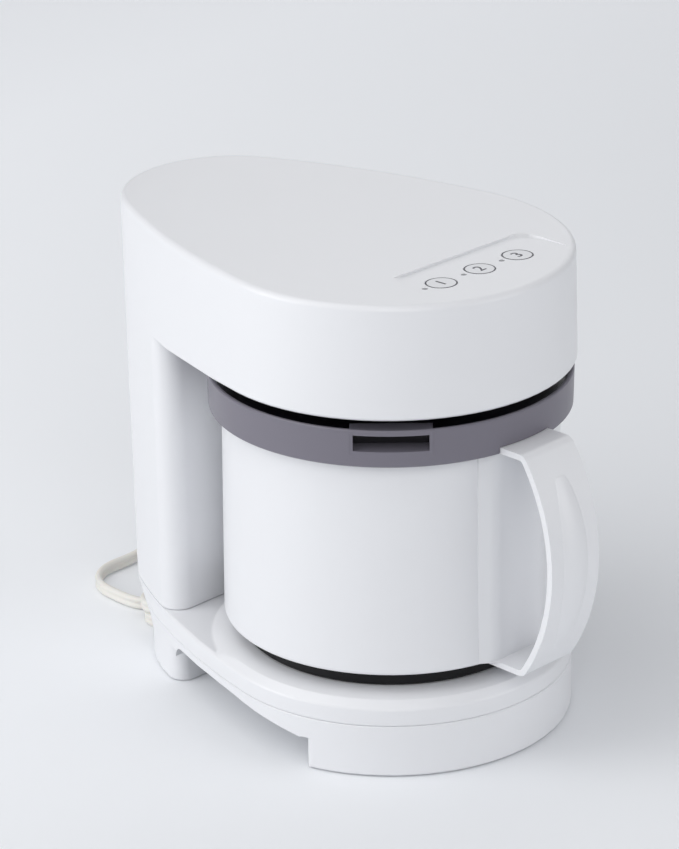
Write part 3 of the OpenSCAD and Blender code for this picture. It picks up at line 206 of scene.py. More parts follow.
@dataclass(frozen=True)
class Metal(Surface):
    """Bare metal: full metallic, with its grain drawn out along one direction."""

    stretch: tuple[float, float, float] = (1.0, 1.0, 8.0)

    def relief(self, tree: bpy.types.NodeTree, place: bpy.types.NodeSocket) -> bpy.types.NodeSocket:
        """Brush lines: noise drawn out along one axis.

        Args:
            tree: Node tree of the material.
            place: Object coordinates.

        Returns:
            The normal output socket.
        """
        drawn = add_node(tree, "ShaderNodeMapping", {"Vector": place, "Scale": self.stretch})
        return super().relief(tree, drawn.outputs["Vector"])

    def shade(self, shader: bpy.types.Node) -> None:
        """Make the shader metallic."""
        shader.inputs["Metallic"].default_value = 1.0


@dataclass(frozen=True)
class Vinyl(Surface):
    """Soft extruded PVC: a waxy skin that lets a little light in."""

    def shade(self, shader: bpy.types.Node) -> None:
        """Add the soft vinyl's slight glow under its skin.

        Args:
            shader: The material's shader.
        """
        super().shade(shader)
        shader.inputs["Subsurface Weight"].default_value = 0.08
        shader.inputs["Subsurface Scale"].default_value = 0.002


class Finish(Enum):
    """Every finish on the appliance, by the maker's plain words."""

    # Injection moulded ABS with a polished tool: white, soft mirror of the softbox, faint waviness.
    WHITE_ABS = Surface("white moulded ABS", "housing_white", "#ebecef", 0.33, 14.0, 0.05, 0.012, 1.53)
    # The same plastic inside, from an unpolished tool: no mirror, fine tooth.
    INNER_ABS = Surface("plain white moulded ABS", "inner_white", "#e6e6e8", 0.6, 0.8, 0.02, 0.02, 1.53)
    # Button caps: satin so that the figures read, a shade brighter than the panel.
    CAP_ABS = Surface("satin white ABS cap", "button_white", "#e9eaed", 0.42, 0.9, 0.012, 0.015, 1.53)
    # Smoked polycarbonate over an unlit lamp: mid grey, glossy.
    LENS = Surface("smoked polycarbonate lens", "light_grey_lens", "#78797e", 0.2, 2.0, 0.01, 0.05, 1.58)
    # Lid ring: warm grey polypropylene from a satin tool, broad soft highlights.
    RING_PP = Surface("warm grey satin polypropylene", "ring_grey", "#77747f", 0.36, 1.1, 0.012, 0.03, 1.49)
    # Black polypropylene with a polished tool: deep, with sharp window reflections.
    BLACK_PP = Surface("black moulded polypropylene", "black_plastic", "#15121c", 0.22, 6.0, 0.02, 0.1, 1.49)
    # Foot ring under the jug: the same black from a dull tool, so that it hardly mirrors the seat.
    BLACK_FOOT = Surface("dull black polypropylene", "black_plastic", "#0b0b0e", 0.5, 1.0, 0.02, 0.1, 1.36)
    # Fan: dull dark nylon.
    NYLON = Surface("dark grey nylon", "fan_grey", "#3a3b3e", 0.55, 0.8, 0.02, 0.05, 1.53)
    # Silicone seal: dull grey with a soft edge.
    GREY_RUBBER = Surface("grey silicone rubber", "rubber_grey", "#5c5d61", 0.62, 0.7, 0.02, 0.05, 1.41)
    BLACK_RUBBER = Surface("black silicone rubber", "rubber_black", "#26272a", 0.65, 0.7, 0.02, 0.05, 1.41)
    # Deep drawn stainless steel, brushed round the pot.
    STEEL = Metal("brushed stainless steel", "steel", "#c6c8ca", 0.28, 0.6, 0.01, 0.03)
    ZINC = Metal("zinc plated steel", "zinc_steel", "#b4b8bf", 0.38, 1.5, 0.01, 0.08, stretch=(1.0, 1.0, 1.0))
    # Hot plate: hard coated aluminium, dark and dull.
    PLATE = Metal("dark coated aluminium", "plate_dark", "#55575b", 0.5, 0.8, 0.02, 0.06, stretch=(1.0, 1.0, 1.0))
    COPPER = Metal("enamelled copper winding", "copper", "#a85f35", 0.35, 0.5, 0.05, 0.1, stretch=(1.0, 1.0, 0.1))
    BRONZE = Metal("sintered bronze", "bronze", "#b48b52", 0.5, 0.6, 0.02, 0.1, stretch=(1.0, 1.0, 1.0))
    BRASS = Metal("bare brass", "brass", "#c7a566", 0.3, 1.0, 0.01, 0.05, stretch=(6.0, 1.0, 1.0))
    BOARD = Surface("green solder resist", "board_green", "#1e6a3c", 0.4, 2.5, 0.03, 0.15)
    CERAMIC = Surface("cream steatite", "ceramic", "#cfc6b4", 0.55, 1.2, 0.03, 0.06, 1.6)
    BUSH = Surface("filled polymer", "polymer_bush", "#b3a37c", 0.5, 0.8, 0.02, 0.06)
    # Mains lead: warm off-white PVC, slightly greyed with handling.
    CORD_PVC = Vinyl("cream flexible PVC", "cord_cream", "#ebe9e3", 0.48, 1.4, 0.03, 0.05, 1.53)
    TIE = Surface("plastic covered wire", "tie_cream", "#ebeae2", 0.45, 0.9, 0.03, 0.08, 1.5)
    # Pad print on the caps and the panel: flat dark grey ink; the same ink paints the shade of the gap round each
    # cap.
    INK = Surface("grey print ink and painted gap shade", "light_grey_lens", "#55555c", 0.55, 0.5, 0.002, 0.04)

    def material(self) -> bpy.types.Material:
        """Blender material of this finish."""
        return self.value.build()


# ---- meshes -------------------------------------------------------------------------------------


def new_object(name: str, mesh: bpy.types.Mesh, finish: Finish) -> bpy.types.Object:
    """Put a mesh into the scene with its finish.

    Args:
        name: Name of the piece.
        mesh: Finished mesh in the row frame, in metres.
        finish: Finish that covers it.

    Returns:
        The linked object.
    """
    thing = bpy.data.objects.new(name, mesh)
    bpy.context.scene.collection.objects.link(thing)
    mesh.materials.clear()
    mesh.materials.append(finish.material())
    return thing


def mount(thing: bpy.types.Object, body: str, finish: Finish, *nodes: str) -> bpy.types.Object:
    """Let a piece ride on a body and stand for the given nodes.

    Args:
        thing: The piece.
        body: Name of the body that carries it.
        finish: Finish of the piece; it is not used.
        nodes: Nodes that the piece replaces.

    Returns:
        The same piece.
    """
    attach(thing, body)
    if nodes:
        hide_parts(*nodes)
    LOG.info("%s rides on %s", thing.name, body)
    return thing


def mesh_from(shell: bmesh.types.BMesh, name: str, smooth: bool = True) -> bpy.types.Mesh:
    """Turn a bmesh into a mesh with its faces pointing outwards.

    Args:
        shell: Mesh under construction; it is freed.
        name: Name of the mesh.
        smooth: Whether its faces are shaded smooth.

    Returns:
        The mesh.
    """
    bmesh.ops.recalc_face_normals(shell, faces=shell.faces)
    for face in shell.faces:
        face.smooth = smooth
    mesh = bpy.data.meshes.new(name)
    shell.to_mesh(mesh)
    shell.free()
    return mesh


@dataclass
class Skin:
    """A rigid node's own surface, welded and given the small soft edges of a moulding."""

    node: str
    name: str
    finish: Finish
    edge_mm: float = 0.35
    crease: float = 32.0
    rounds: int = 2

    def shape(self, shell: bmesh.types.BMesh) -> None:
        """Change the welded surface before it is finished; a plain skin keeps it."""

    def welded(self) -> bpy.types.Mesh:
        """Weld the node's loose triangles and mark the edges that stay sharp.

        Returns:
            A new mesh; the node's own mesh is left as it is.
        """
        shell = bmesh.new()
        shell.from_mesh(frame["nodes"][self.node].data)
        bmesh.ops.remove_doubles(shell, verts=shell.verts, dist=WELD)
        self.shape(shell)
        bmesh.ops.dissolve_limit(
            shell, angle_limit=math.radians(FLAT_TURN), verts=shell.verts, edges=shell.edges, delimit={"NORMAL"})
        for face in shell.faces:
            face.smooth = True
        for edge in shell.edges:
            turn = edge.calc_face_angle(0.0)
            edge.smooth = turn < math.radians(self.crease)
        mesh = bpy.data.meshes.new(self.name)
        shell.to_mesh(mesh)
        shell.free()
        return mesh

    def make(self) -> bpy.types.Object:
        """Build the piece, soften its edges and let it stand for its node.

        Returns:
            The piece.
        """
        thing = new_object(self.name, self.welded(), self.finish)
        if self.edge_mm > 0:
            bevel = thing.modifiers.new("soft edge", "BEVEL")
            bevel.width = self.edge_mm * MM
            bevel.segments = self.rounds
            bevel.limit_method = "ANGLE"
            bevel.angle_limit = math.radians(self.crease)
            bevel.harden_normals = True
        weigh = thing.modifiers.new("even normals", "WEIGHTED_NORMAL")
        weigh.keep_sharp = True
        return mount(thing, frame["nodes"][self.node]["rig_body"], self.finish, self.node)


@dataclass
class PanSkin(Skin):
    """The pan's surface, with the rear foot's corners carried round to the base's side without a step."""

    corner_mm: tuple = (49.5, 68.35)
    radius_mm: float = 9.0
    side_lean: float = 21.5
    step_mm: tuple = (58.6, 61.5)
    foot_top_mm: float = 19.01
    near_mm: float = 0.01

    def on_arc(self, place: Vector, side: int) -> bool:
        """Whether a point lies on the old corner, in front of its centre.

        Args:
            place: The point.
            side: 1 on the right, -1 on the left.

        Returns:
            True on the corner's round.
        """
        x, y = side * place.x / MM - self.corner_mm[0], place.y / MM - self.corner_mm[1]
        round_off = abs(math.hypot(x, y) - self.radius_mm)
        return x > self.near_mm and y < self.near_mm and round_off < 2 * self.near_mm and self.in_foot(place)

    def on_step(self, place: Vector, side: int) -> bool:
        """Whether a point lies on the outer edge of the step beside the corner.

        Args:
            place: The point.
            side: 1 on the right, -1 on the left.

        Returns:
            True on the step's outer edge.
        """
        x, y = side * place.x / MM, place.y / MM
        return (self.step_mm[0] < x < self.step_mm[1] and abs(y - self.corner_mm[1]) < self.near_mm
                and self.in_foot(place))

    def in_foot(self, place: Vector) -> bool:
        """Whether a point lies low enough to be part of the foot."""
        return place.z < self.foot_top_mm * MM

    def shape(self, shell: bmesh.types.BMesh) -> None:
        """Cut the corner at each height where the side bends and swing it out to the side there.

        Args:
            shell: The pan's welded surface.
        """
        for side in (1, -1):
            steps = {round(v.co.z, 5): v.co.copy() for v in shell.verts if self.on_step(v.co, side)}
            levels = sorted(steps)
            for level in levels[1:-1]:
                near = [f for f in shell.faces
                        if all(self.on_arc(v.co, side) or self.on_step(v.co, side) for v in f.verts)]
                part = list({e for f in near for e in f.edges}) + list({v for f in near for v in f.verts})
                bmesh.ops.bisect_plane(shell, geom=near + part, dist=MEET, plane_co=(0, 0, level), plane_no=(0, 0, 1))
            for vert in [v for v in shell.verts if self.on_arc(v.co, side)]:
                level = min(levels, key=lambda z: abs(z - vert.co.z))
                self.swing(vert, steps[level], side)
        bmesh.ops.remove_doubles(shell, verts=shell.verts, dist=WELD)
        bmesh.ops.dissolve_degenerate(shell, dist=WELD, edges=shell.edges)

    def swing(self, vert: bmesh.types.BMVert, edge: Vector, side: int) -> None:
        """Move a corner point onto the tighter round that ends on the side's edge.

        Args:
            vert: The corner's point.
            edge: Where the side's edge lies at this height.
            side: 1 on the right, -1 on the left.
        """
        lean = math.radians(self.side_lean)
        radius = self.radius_mm * MM / (1 + math.sin(lean))
        old = math.atan2(vert.co.y / MM - self.corner_mm[1], side * vert.co.x / MM - self.corner_mm[0])
        new = -math.pi / 2 + (old + math.pi / 2) * (math.pi / 2 + lean) / (math.pi / 2)
        middle_x = side * edge.x - radius * math.cos(lean)
        middle_y = edge.y - radius * math.sin(lean)
        vert.co.x = side * (middle_x + radius * math.cos(new))
        vert.co.y = middle_y + radius * math.sin(new)


@dataclass
class HandleSkin(Skin):
    """The handle's surface, with the upright front edge on each side of its root turned into a broad round."""

    edge_at_mm: tuple = (15.5, -98.65)
    round_mm: float = 3.4
    round_steps: int = 6
    least_mm: float = 30.0
    near_mm: float = 0.05

    def shape(self, shell: bmesh.types.BMesh) -> None:
        """Round the root's long upright front edges.

        Args:
            shell: The handle's welded surface.
        """
        bmesh.ops.dissolve_limit(
            shell, angle_limit=math.radians(FLAT_TURN), verts=shell.verts, edges=shell.edges, delimit={"NORMAL"})
        x, y = self.edge_at_mm
        upright = [e for e in shell.edges if abs(e.verts[0].co.z - e.verts[1].co.z) > self.least_mm * MM
                   and all(abs(abs(v.co.x) / MM - x) < self.near_mm and abs(v.co.y / MM - y) < self.near_mm
                           for v in e.verts)]
        bmesh.ops.bevel(shell, geom=upright, offset=self.round_mm * MM, offset_type="OFFSET",
                        segments=self.round_steps, profile=0.5, affect="EDGES", clamp_overlap=False)


def dress(finish: Finish, nodes: Iterable[str]) -> None:
    """Give nodes that keep their own shape their finish.

    Args:
        finish: The finish.
        nodes: Names of the nodes.
    """
    for node in nodes:
        mesh = frame["nodes"][node].data
        mesh.materials.clear()
        mesh.materials.append(finish.material())


def lathe(name: str, profile: Sequence[tuple[float, float]], place: Matrix, steps: int = 48) -> bpy.types.Mesh:
    """Turn a profile of radius and height about an axis.

    Args:
        name: Name of the mesh.
        profile: Pairs of radius and height, in metres.
        place: Where the axis stands.
        steps: Steps round the axis.

    Returns:
        A closed mesh.
    """
    shell = bmesh.new()
    verts = [shell.verts.new((radius, 0, height)) for radius, height in profile]
    edges = [shell.edges.new(pair) for pair in zip(verts, verts[1:] + verts[:1])]
    bmesh.ops.spin(shell, geom=verts + edges, axis=(0, 0, 1), cent=(0, 0, 0), angle=2 * math.pi, steps=steps)
    bmesh.ops.remove_doubles(shell, verts=shell.verts, dist=MEET)
    bmesh.ops.transform(shell, matrix=place, verts=shell.verts)
    return mesh_from(shell, name)


# ---- mains lead ---------------------------------------------------------------------------------


def curve_through(points: Sequence[Vector], steps: int) -> list[Vector]:
    """Smooth curve through a route's points.

    Args:
        points: The route.
        steps: Points made on every span.

    Returns:
        The finer route, from its first to its last point.
    """
    fine = []
    last = len(points) - 1
    for i in range(last):
        a, b, c, d = points[max(i - 1, 0)], points[i], points[i + 1], points[min(i + 2, last)]
        for k in range(steps):
            t = k / steps
            fine.append(0.5 * (2 * b + (c - a) * t + (2 * a - 5 * b + 4 * c - d) * t ** 2
                               + (3 * b - a - 3 * c + d) * t ** 3))
    fine.append(points[last].copy())
    return fine


@dataclass
class MainsLead:
    """Flat twin lead: a loop on the table, a hank of two layers behind the base, and a plug."""

    width_mm: float = 6.4
    thick_mm: float = 3.4
    groove: float = 47.0
    route_mm: tuple = (
        (8, 152, 50), (10, 158.5, 47.5), (14.5, 164.5, 40), (20, 169, 29), (24.5, 172.5, 17),
        (24.5, 175.5, 8.5), (20, 177, 4.3), (10, 177, 3.5), (1, 177, 3.5), (-6, 175.5, 3.5),
        (-12.5, 171.5, 3.5), (-17, 166, 3.5), (-19.4, 159, 3.5), (-20, 151, 3.5), (-20, 143, 3.5),
        (-19, 136.5, 3.5), (-16, 131.8, 3.5), (-11, 129.6, 3.5))
    tail_mm: tuple = (
        (78.6, 124.2, 10), (85, 126, 9.4), (91, 129.5, 7.6), (95, 135, 5.6), (96.5, 142, 5),
        (95, 149, 5), (90, 154, 5), (83, 155.5, 5))
    hank_at_mm: tuple = (-18.5, 117.5)
    hank_turn: float = 4.0
    run_mm: float = 86.0
    outer_mm: float = 10.25
    inner_mm: float = 6.8
    low_mm: float = 3.35
    high_mm: float = 9.9
    climb_dip_mm: float = 2.4
    span_mm: float = 4.0
    first_mm: float = 18.0
    arc_steps: int = 8
    last_share: float = 0.25
    last_steps: int = 4
    round_steps: int = 11

    def in_hank(self, along: float, across: float, height: float) -> Vector:
        """Point given along and across the hank, in millimetres in the row frame."""
        turn = math.radians(self.hank_turn)
        return Vector((self.hank_at_mm[0] + along * math.cos(turn) - across * math.sin(turn),
                       self.hank_at_mm[1] + along * math.sin(turn) + across * math.cos(turn), height))

    def end_arc(self, right: bool, radii: tuple[float, float], heights: tuple[float, float],
                dip: float = 0.0, share: float = 1.0) -> list[Vector]:
        """Half turn at one end of the hank.

        Args:
            right: True at the far end, where the lead turns from the rear run to the front run.
            radii: Radius at which it arrives and at which it leaves.
            heights: Height at which it arrives and at which it leaves.
            dip: How far it is drawn in at its middle.
            share: How much of the half turn is made.

        Returns:
            The points of the turn.
        """
        points = []
        whole = share == 1.0
        for k in range(1, self.arc_steps if whole else self.last_steps + 1):
            t = k / self.arc_steps if whole else k / self.last_steps * share
            radius = radii[0] + (radii[1] - radii[0]) * t - dip * math.sin(math.pi * t)
            angle = math.radians(90 - 180 * t) if right else math.radians(270 - 180 * t)
            points.append(self.in_hank((self.run_mm if right else 0) + radius * math.cos(angle),
                                       radius * math.sin(angle), heights[0] + (heights[1] - heights[0]) * t))
        return points

    def run(self, side: int, radius: float, height: float, first: float, last: float) -> list[Vector]:
        """Straight run of the hank with a slight lie of its own.

        Args:
            side: 1 at the rear, -1 at the front.
            radius: Distance from the hank's middle.
            height: Height above the table.
            first: Where the run starts, along the hank.
            last: Where it ends.

        Returns:
            The run's points.
        """
        spans = round(abs(last - first) / self.span_mm)
        return [self.in_hank(first + (last - first) * k / spans, side * radius, height) for k in range(spans + 1)]

    def hank(self) -> list[Vector]:
        """Every turn of the hank, wound inwards below and outwards above.

        Returns:
            The points, in millimetres.
        """
        out, mid, low, high, end = self.outer_mm, self.inner_mm, self.low_mm, self.high_mm, self.run_mm
        points = self.run(1, out, low, self.first_mm, end)
        points += self.end_arc(True, (out, out), (low, low)) + self.run(-1, out, low, end, 0)
        points += self.end_arc(False, (out, mid), (low, low)) + self.run(1, mid, low, 0, end)
        points += self.end_arc(True, (mid, mid), (low, low)) + self.run(-1, mid, low, end, 0)
        points += self.end_arc(False, (mid, mid), (low, high), self.climb_dip_mm) + self.run(1, mid, high, 0, end)
        points += self.end_arc(True, (mid, mid), (high, high)) + self.run(-1, mid, high, end, 0)
        points += self.end_arc(False, (mid, out), (high, high)) + self.run(1, out, high, 0, end)
        points += self.end_arc(True, (out, out), (high, high), share=self.last_share)
        return points

    def path(self) -> list[Vector]:
        """Middle line of the whole lead, in metres.

        Returns:
            Its points from the strain relief to the plug.
        """
        coarse = [Vector(p) for p in self.route_mm] + self.hank() + [Vector(p) for p in self.tail_mm]
        return [p * MM for p in curve_through(coarse, 3)]

    def section(self) -> list[tuple[float, float]]:
        """Outline of the twin lead: two round cores side by side with a groove between them.

        Returns:
            Pairs across and up, in millimetres.
        """
        core = self.thick_mm / 2
        centre = self.width_mm / 2 - core
        sweep = (180 + 2 * self.groove) / (self.round_steps - 1)
        bends = [math.radians(-self.groove + k * sweep) for k in range(self.round_steps)]
        upper = [(core * math.cos(bend), centre + core * math.sin(bend)) for bend in bends]
        return upper + [(-x, -y) for x, y in upper]

    def tube(self, path: Sequence[Vector]) -> bpy.types.Mesh:
        """Sweep the twin section along the path.

        Args:
            path: Ring centres, in metres.

        Returns:
            The lead's mesh.
        """
        shell = bmesh.new()
        outline = self.section()
        rings = []
        last = len(path) - 1
        for i, centre in enumerate(path):
            ahead = (path[min(i + 1, last)] - path[max(i - 1, 0)]).normalized()
            side = ahead.cross(Vector((0, 0, 1))).normalized()
            up = side.cross(ahead)
            rings.append([shell.verts.new(centre + side * (x * MM) + up * (y * MM)) for x, y in outline])
        for one, two in zip(rings, rings[1:]):
            for k in range(len(outline)):
                j = (k + 1) % len(outline)
                shell.faces.new((one[k], one[j], two[j], two[k]))
        shell.faces.new(rings[0])
        shell.faces.new(list(reversed(rings[-1])))
        return mesh_from(shell, "mains_lead")

    def make(self) -> bpy.types.Object:
        """Returns:
            The lead.
        """
        path = self.path()
        lead = new_object("mains_lead", self.tube(path), Finish.CORD_PVC)
        mount(lead, "housing", Finish.CORD_PVC, "cord", "cord_hank", "cord_tail")
        relief = Skin("cord_gland", "strain_relief", Finish.CORD_PVC, 0.2).make()
        plug = Skin("plug_body", "plug", Finish.CORD_PVC, 1.2).make()
        tie = TieWire(self).make()
        ribs = GripRibs().make()
        dress(Finish.BRASS, ["plug_blades"])
        return lead


@dataclass
class Row:
    """One small form repeated at an even pitch by a Geometry Nodes tree."""

    name: str
    count: int
    start: Vector
    step: Vector
    heading: float = 0.0
    sway: float = 0.0

    def tree(self) -> bpy.types.NodeTree:
        """Node tree: points on a line, the form on each, made real and given its finish.

        Returns:
            The tree, with named inputs for its sizes.
        """
        tree = bpy.data.node_groups.new(self.name, "GeometryNodeTree")
        face = tree.interface
        face.new_socket("Geometry", in_out="OUTPUT", socket_type="NodeSocketGeometry")
        for name, kind in (("Form", "Geometry"), ("Count", "Int"), ("Start", "Vector"), ("Step", "Vector"),
                           ("Heading", "Float"), ("Sway", "Float"), ("Finish", "Material")):
            face.new_socket(name, in_out="INPUT", socket_type="NodeSocket" + kind)
        given = add_node(tree, "NodeGroupInput")
        line = add_node(tree, "GeometryNodeMeshLine", {
            "Count": given.outputs["Count"], "Start Location": given.outputs["Start"],
            "Offset": given.outputs["Step"]}, mode="OFFSET")
        number = add_node(tree, "GeometryNodeInputIndex")
        odd = add_node(tree, "ShaderNodeMath", {0: number.outputs["Index"], 1: 2.0}, operation="MODULO")
        swing = add_node(tree, "ShaderNodeMath", {0: odd.outputs["Value"], 1: 0.5}, operation="SUBTRACT")
        turn = add_node(tree, "ShaderNodeMath", {
            0: swing.outputs["Value"], 1: given.outputs["Sway"], 2: given.outputs["Heading"]},
            operation="MULTIPLY_ADD")
        spin = add_node(tree, "ShaderNodeCombineXYZ", {"Z": turn.outputs["Value"]})
        placed = add_node(tree, "GeometryNodeInstanceOnPoints", {
            "Points": line.outputs["Mesh"], "Instance": given.outputs["Form"], "Rotation": spin.outputs["Vector"]})
        real = add_node(tree, "GeometryNodeRealizeInstances", {"Geometry": placed.outputs["Instances"]})
        coloured = add_node(tree, "GeometryNodeSetMaterial", {
            "Geometry": real.outputs["Geometry"], "Material": given.outputs["Finish"]})
        add_node(tree, "NodeGroupOutput", {"Geometry": coloured.outputs["Geometry"]})
        return tree

    def make(self, form: bpy.types.Mesh, finish: Finish) -> bpy.types.Object:
        """Run the tree on a form and keep the result as a plain mesh.

        Args:
            form: Mesh of one form, built about the origin.
            finish: Finish of the row.

        Returns:
            The row as one piece.
        """
        tree = self.tree()
        carrier = new_object(self.name + "_form", form, finish)
        grow = carrier.modifiers.new("row", "NODES")
        grow.node_group = tree
        sizes = {"Count": self.count, "Start": self.start, "Step": self.step, "Heading": self.heading,
                 "Sway": self.sway, "Finish": finish.material()}
        for item in tree.interface.items_tree:
            if item.in_out == "INPUT" and item.name in sizes:
                grow[item.identifier] = sizes[item.name]
        seen = carrier.evaluated_get(bpy.context.evaluated_depsgraph_get())
        mesh = bpy.data.meshes.new_from_object(seen)
        bpy.data.objects.remove(carrier)
        return new_object(self.name, mesh, finish)


@dataclass
class GripRibs:
    """Row of finger ribs across the plug's upper face."""

    count: int = 5
    pitch_mm: float = 2.4
    length_mm: float = 15.0
    radius_mm: float = 0.6
    from_end_mm: float = 3.0
    sunk_mm: float = 0.1

    def make(self) -> bpy.types.Object:
        """Lay the ribs on the plug.

        Returns:
            The ribs as one piece.
        """
        low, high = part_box("plug_body")
        shell = bmesh.new()
        bmesh.ops.create_cone(shell, cap_ends=True, segments=12, radius1=self.radius_mm * MM,
                              radius2=self.radius_mm * MM, depth=self.length_mm * MM,
                              matrix=Matrix.Rotation(math.pi / 2, 4, "X"))
        start = Vector((low.x + self.from_end_mm * MM, (low.y + high.y) / 2, high.z - self.sunk_mm * MM))
        row = Row("plug_ribs", self.count, start, Vector((self.pitch_mm * MM, 0, 0)))
        return mount(row.make(mesh_from(shell, "finger_rib"), Finish.CORD_PVC), "housing", Finish.CORD_PVC)


@dataclass
class TieWire:
    """Covered wire laid several times over the end of the hank, each wrap slanting a little against the next."""

    lead: MainsLead
    count: int = 3
    wire_mm: float = 1.9
    pitch_mm: float = 2.1
    first_mm: float = 0.8
    half_mm: float = 13.0
    top_mm: float = 14.0
    corner_mm: float = 4.0
    corner_turns: tuple = (22, 45, 68)
    foot_mm: float = 1.0
    arch_mm: float = 0.1
    sides: int = 10
    sway: float = 7.0

    def saddle(self) -> bpy.types.Mesh:
        """One wrap: up one side of the hank, over its top and down the other side.

        Returns:
            The wrap's mesh, standing across the origin.
        """
        side, top, bend = self.half_mm, self.top_mm, self.corner_mm
        line = [(side, self.foot_mm), (side, top - bend)]
        line += [(side - bend + bend * math.cos(math.radians(a)), top - bend + bend * math.sin(math.radians(a)))
                 for a in self.corner_turns]
        line += [(side - bend, top), (0.0, top + self.arch_mm)]
        line += [(-x, z) for x, z in reversed(line[:-1])]
        shell = bmesh.new()
        swell = self.wire_mm / 2
        rings = []
        for i, (x, z) in enumerate(line):
            before, after = line[max(i - 1, 0)], line[min(i + 1, len(line) - 1)]
            ahead = Vector((0, after[0] - before[0], after[1] - before[1])).normalized()
            out = Vector((0, ahead.z, -ahead.y))
            ring = []
            for k in range(self.sides):
                a = math.radians(360 / self.sides * k)
                ring.append(shell.verts.new(MM * (Vector((0, x, z)) + out * (swell * math.cos(a))
                                                  + Vector((swell * math.sin(a), 0, 0)))))
            rings.append(ring)
        for one, two in zip(rings, rings[1:]):
            for k in range(self.sides):
                j = (k + 1) % self.sides
                shell.faces.new((one[k], one[j], two[j], two[k]))
        shell.faces.new(rings[0])
        shell.faces.new(rings[-1])
        return mesh_from(shell, "tie_wrap")

    def make(self) -> bpy.types.Object:
        """Lay the wraps over the hank in place of the plain tie.

        Returns:
            The wraps as one piece.
        """
        start = self.lead.in_hank(self.first_mm, 0, 0) * MM
        step = (self.lead.in_hank(self.first_mm + self.pitch_mm, 0, 0) * MM) - start
        row = Row("lead_tie", self.count, start, step, math.radians(self.lead.hank_turn), math.radians(self.sway))
        return mount(row.make(self.saddle(), Finish.TIE), "housing", Finish.TIE, "cord_tie")


# ---- sub-assemblies -----------------------------------------------------------------------------


@dataclass
class Housing:
    """Head and column, with the board, motor mount and other pieces fixed inside."""

    def make(self) -> None:
        """Build the moulded shell's skin and dress what it holds."""
        Skin("housing_shell", "head_and_column", Finish.WHITE_ABS, 0.3, 30.0).make()
        Skin("head_underside", "head_floor", Finish.INNER_ABS, 0.0).make()
        dress(Finish.BOARD, ["control_board", "power_board"])
        dress(Finish.ZINC, ["motor_plate", "motor_can", "motor_screws", "board_screws"])
        dress(Finish.BRONZE, ["motor_bearings"])


@dataclass
class ControlPanel:
    """Three push buttons, each with a printed figure and a dark ring at its rim that paints the shade of the gap
    round it, and a lamp beside each.
    """

    caps: tuple = ("button_left", "button_middle", "button_right")
    figure_mm: float = 8.4
    stroke_mm: float = 0.1
    ring_mm: float = 0.5
    ink_mm: float = 0.03
    rim_mm: float = 0.02
    rooted_mm: float = 0.1
    ring_steps: int = 64

    def plane(self, node: str) -> tuple[Matrix, float]:
        """Where a cap's upper face lies.

        Args:
            node: The cap's node.

        Returns:
            A matrix whose Z is the panel's outward normal, and the cap's radius.
        """
        joint = next(j for j in frame["joints"] if j["child"] == frame["nodes"][node]["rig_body"])
        up = -Vector(joint["axis"]).normalized()
        corners = [v.co.copy() for v in frame["nodes"][node].data.vertices]
        level = max(corner.dot(up) for corner in corners)
        flat = [corner for corner in corners if level - corner.dot(up) < 0.5 * WELD]
        centre = sum(flat, Vector()) / len(flat)
        radius = max((corner - centre).length for corner in flat)
        side = Vector((1, 0, 0))
        turn = Matrix((side, up.cross(side), up)).transposed().to_4x4()
        return Matrix.Translation(centre) @ turn, radius

    def figure(self, text: str, node: str) -> None:
        """Print a figure on a cap.

        Args:
            text: The figure.
            node: The cap's node.
        """
        place = self.plane(node)[0]
        curve = bpy.data.curves.new("figure", "FONT")
        curve.body = text
        curve.size = self.figure_mm * MM
        curve.align_x = "CENTER"
        curve.align_y = "CENTER"
        curve.extrude = self.ink_mm * MM / 2
        curve.offset = self.stroke_mm * MM
        writing = bpy.data.objects.new("figure", curve)
        bpy.context.scene.collection.objects.link(writing)
        bpy.context.view_layer.update()
        mesh = bpy.data.meshes.new_from_object(writing)
        bpy.data.objects.remove(writing)
        mesh.transform(place @ Matrix.Translation((0, 0, self.ink_mm * MM / 2)))
        mount(new_object(f"figure_{text}", mesh, Finish.INK), frame["nodes"][node]["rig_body"], Finish.INK)

    def ring(self, number: int, node: str) -> None:
        """Paint the shade of the gap round a cap as a thin dark ring on the cap's rim.

        Args:
            number: The cap's number from the left.
            node: The cap's node.
        """
        place, radius = self.plane(node)
        outer = radius - self.rim_mm * MM
        inner = outer - self.ring_mm * MM
        top, root = self.ink_mm * MM, -self.rooted_mm * MM
        name = f"cap_gap_shade_{number}"
        mesh = lathe(name, [(inner, root), (outer, root), (outer, top), (inner, top)], place, self.ring_steps)
        mount(new_object(name, mesh, Finish.INK), frame["nodes"][node]["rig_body"], Finish.INK)

    def make(self) -> None:
        """Build the caps, their figures, the dark rings of painted gap shade and the lamps' lenses."""
        for number, node in enumerate(self.caps, 1):
            Skin(node, f"cap_{number}", Finish.CAP_ABS, 0.15).make()
            self.figure(str(number), node)
            # painted shade: a dark ring on the cap's rim stands for the shade in the gap round the cap
            self.ring(number, node)
        dress(Finish.LENS, ["indicator_lights"])


@dataclass
class Base:
    """Seat, pan, feet and heater."""

    def make(self) -> None:
        """Build the skins of the base's mouldings and dress its inner pieces."""
        Skin("base_cover", "base_and_seat", Finish.WHITE_ABS, 0.25, 30.0).make()
        PanSkin("base_pan", "base_underpan", Finish.WHITE_ABS, 0.0, 30.0).make()
        dress(Finish.GREY_RUBBER, ["foot_pads"])
        dress(Finish.BLACK_RUBBER, ["plate_gasket"])
        dress(Finish.PLATE, ["hot_plate"])
        dress(Finish.ZINC, ["base_screws", "heating_element"])
        dress(Finish.CERAMIC, ["thermostat", "thermal_fuse"])


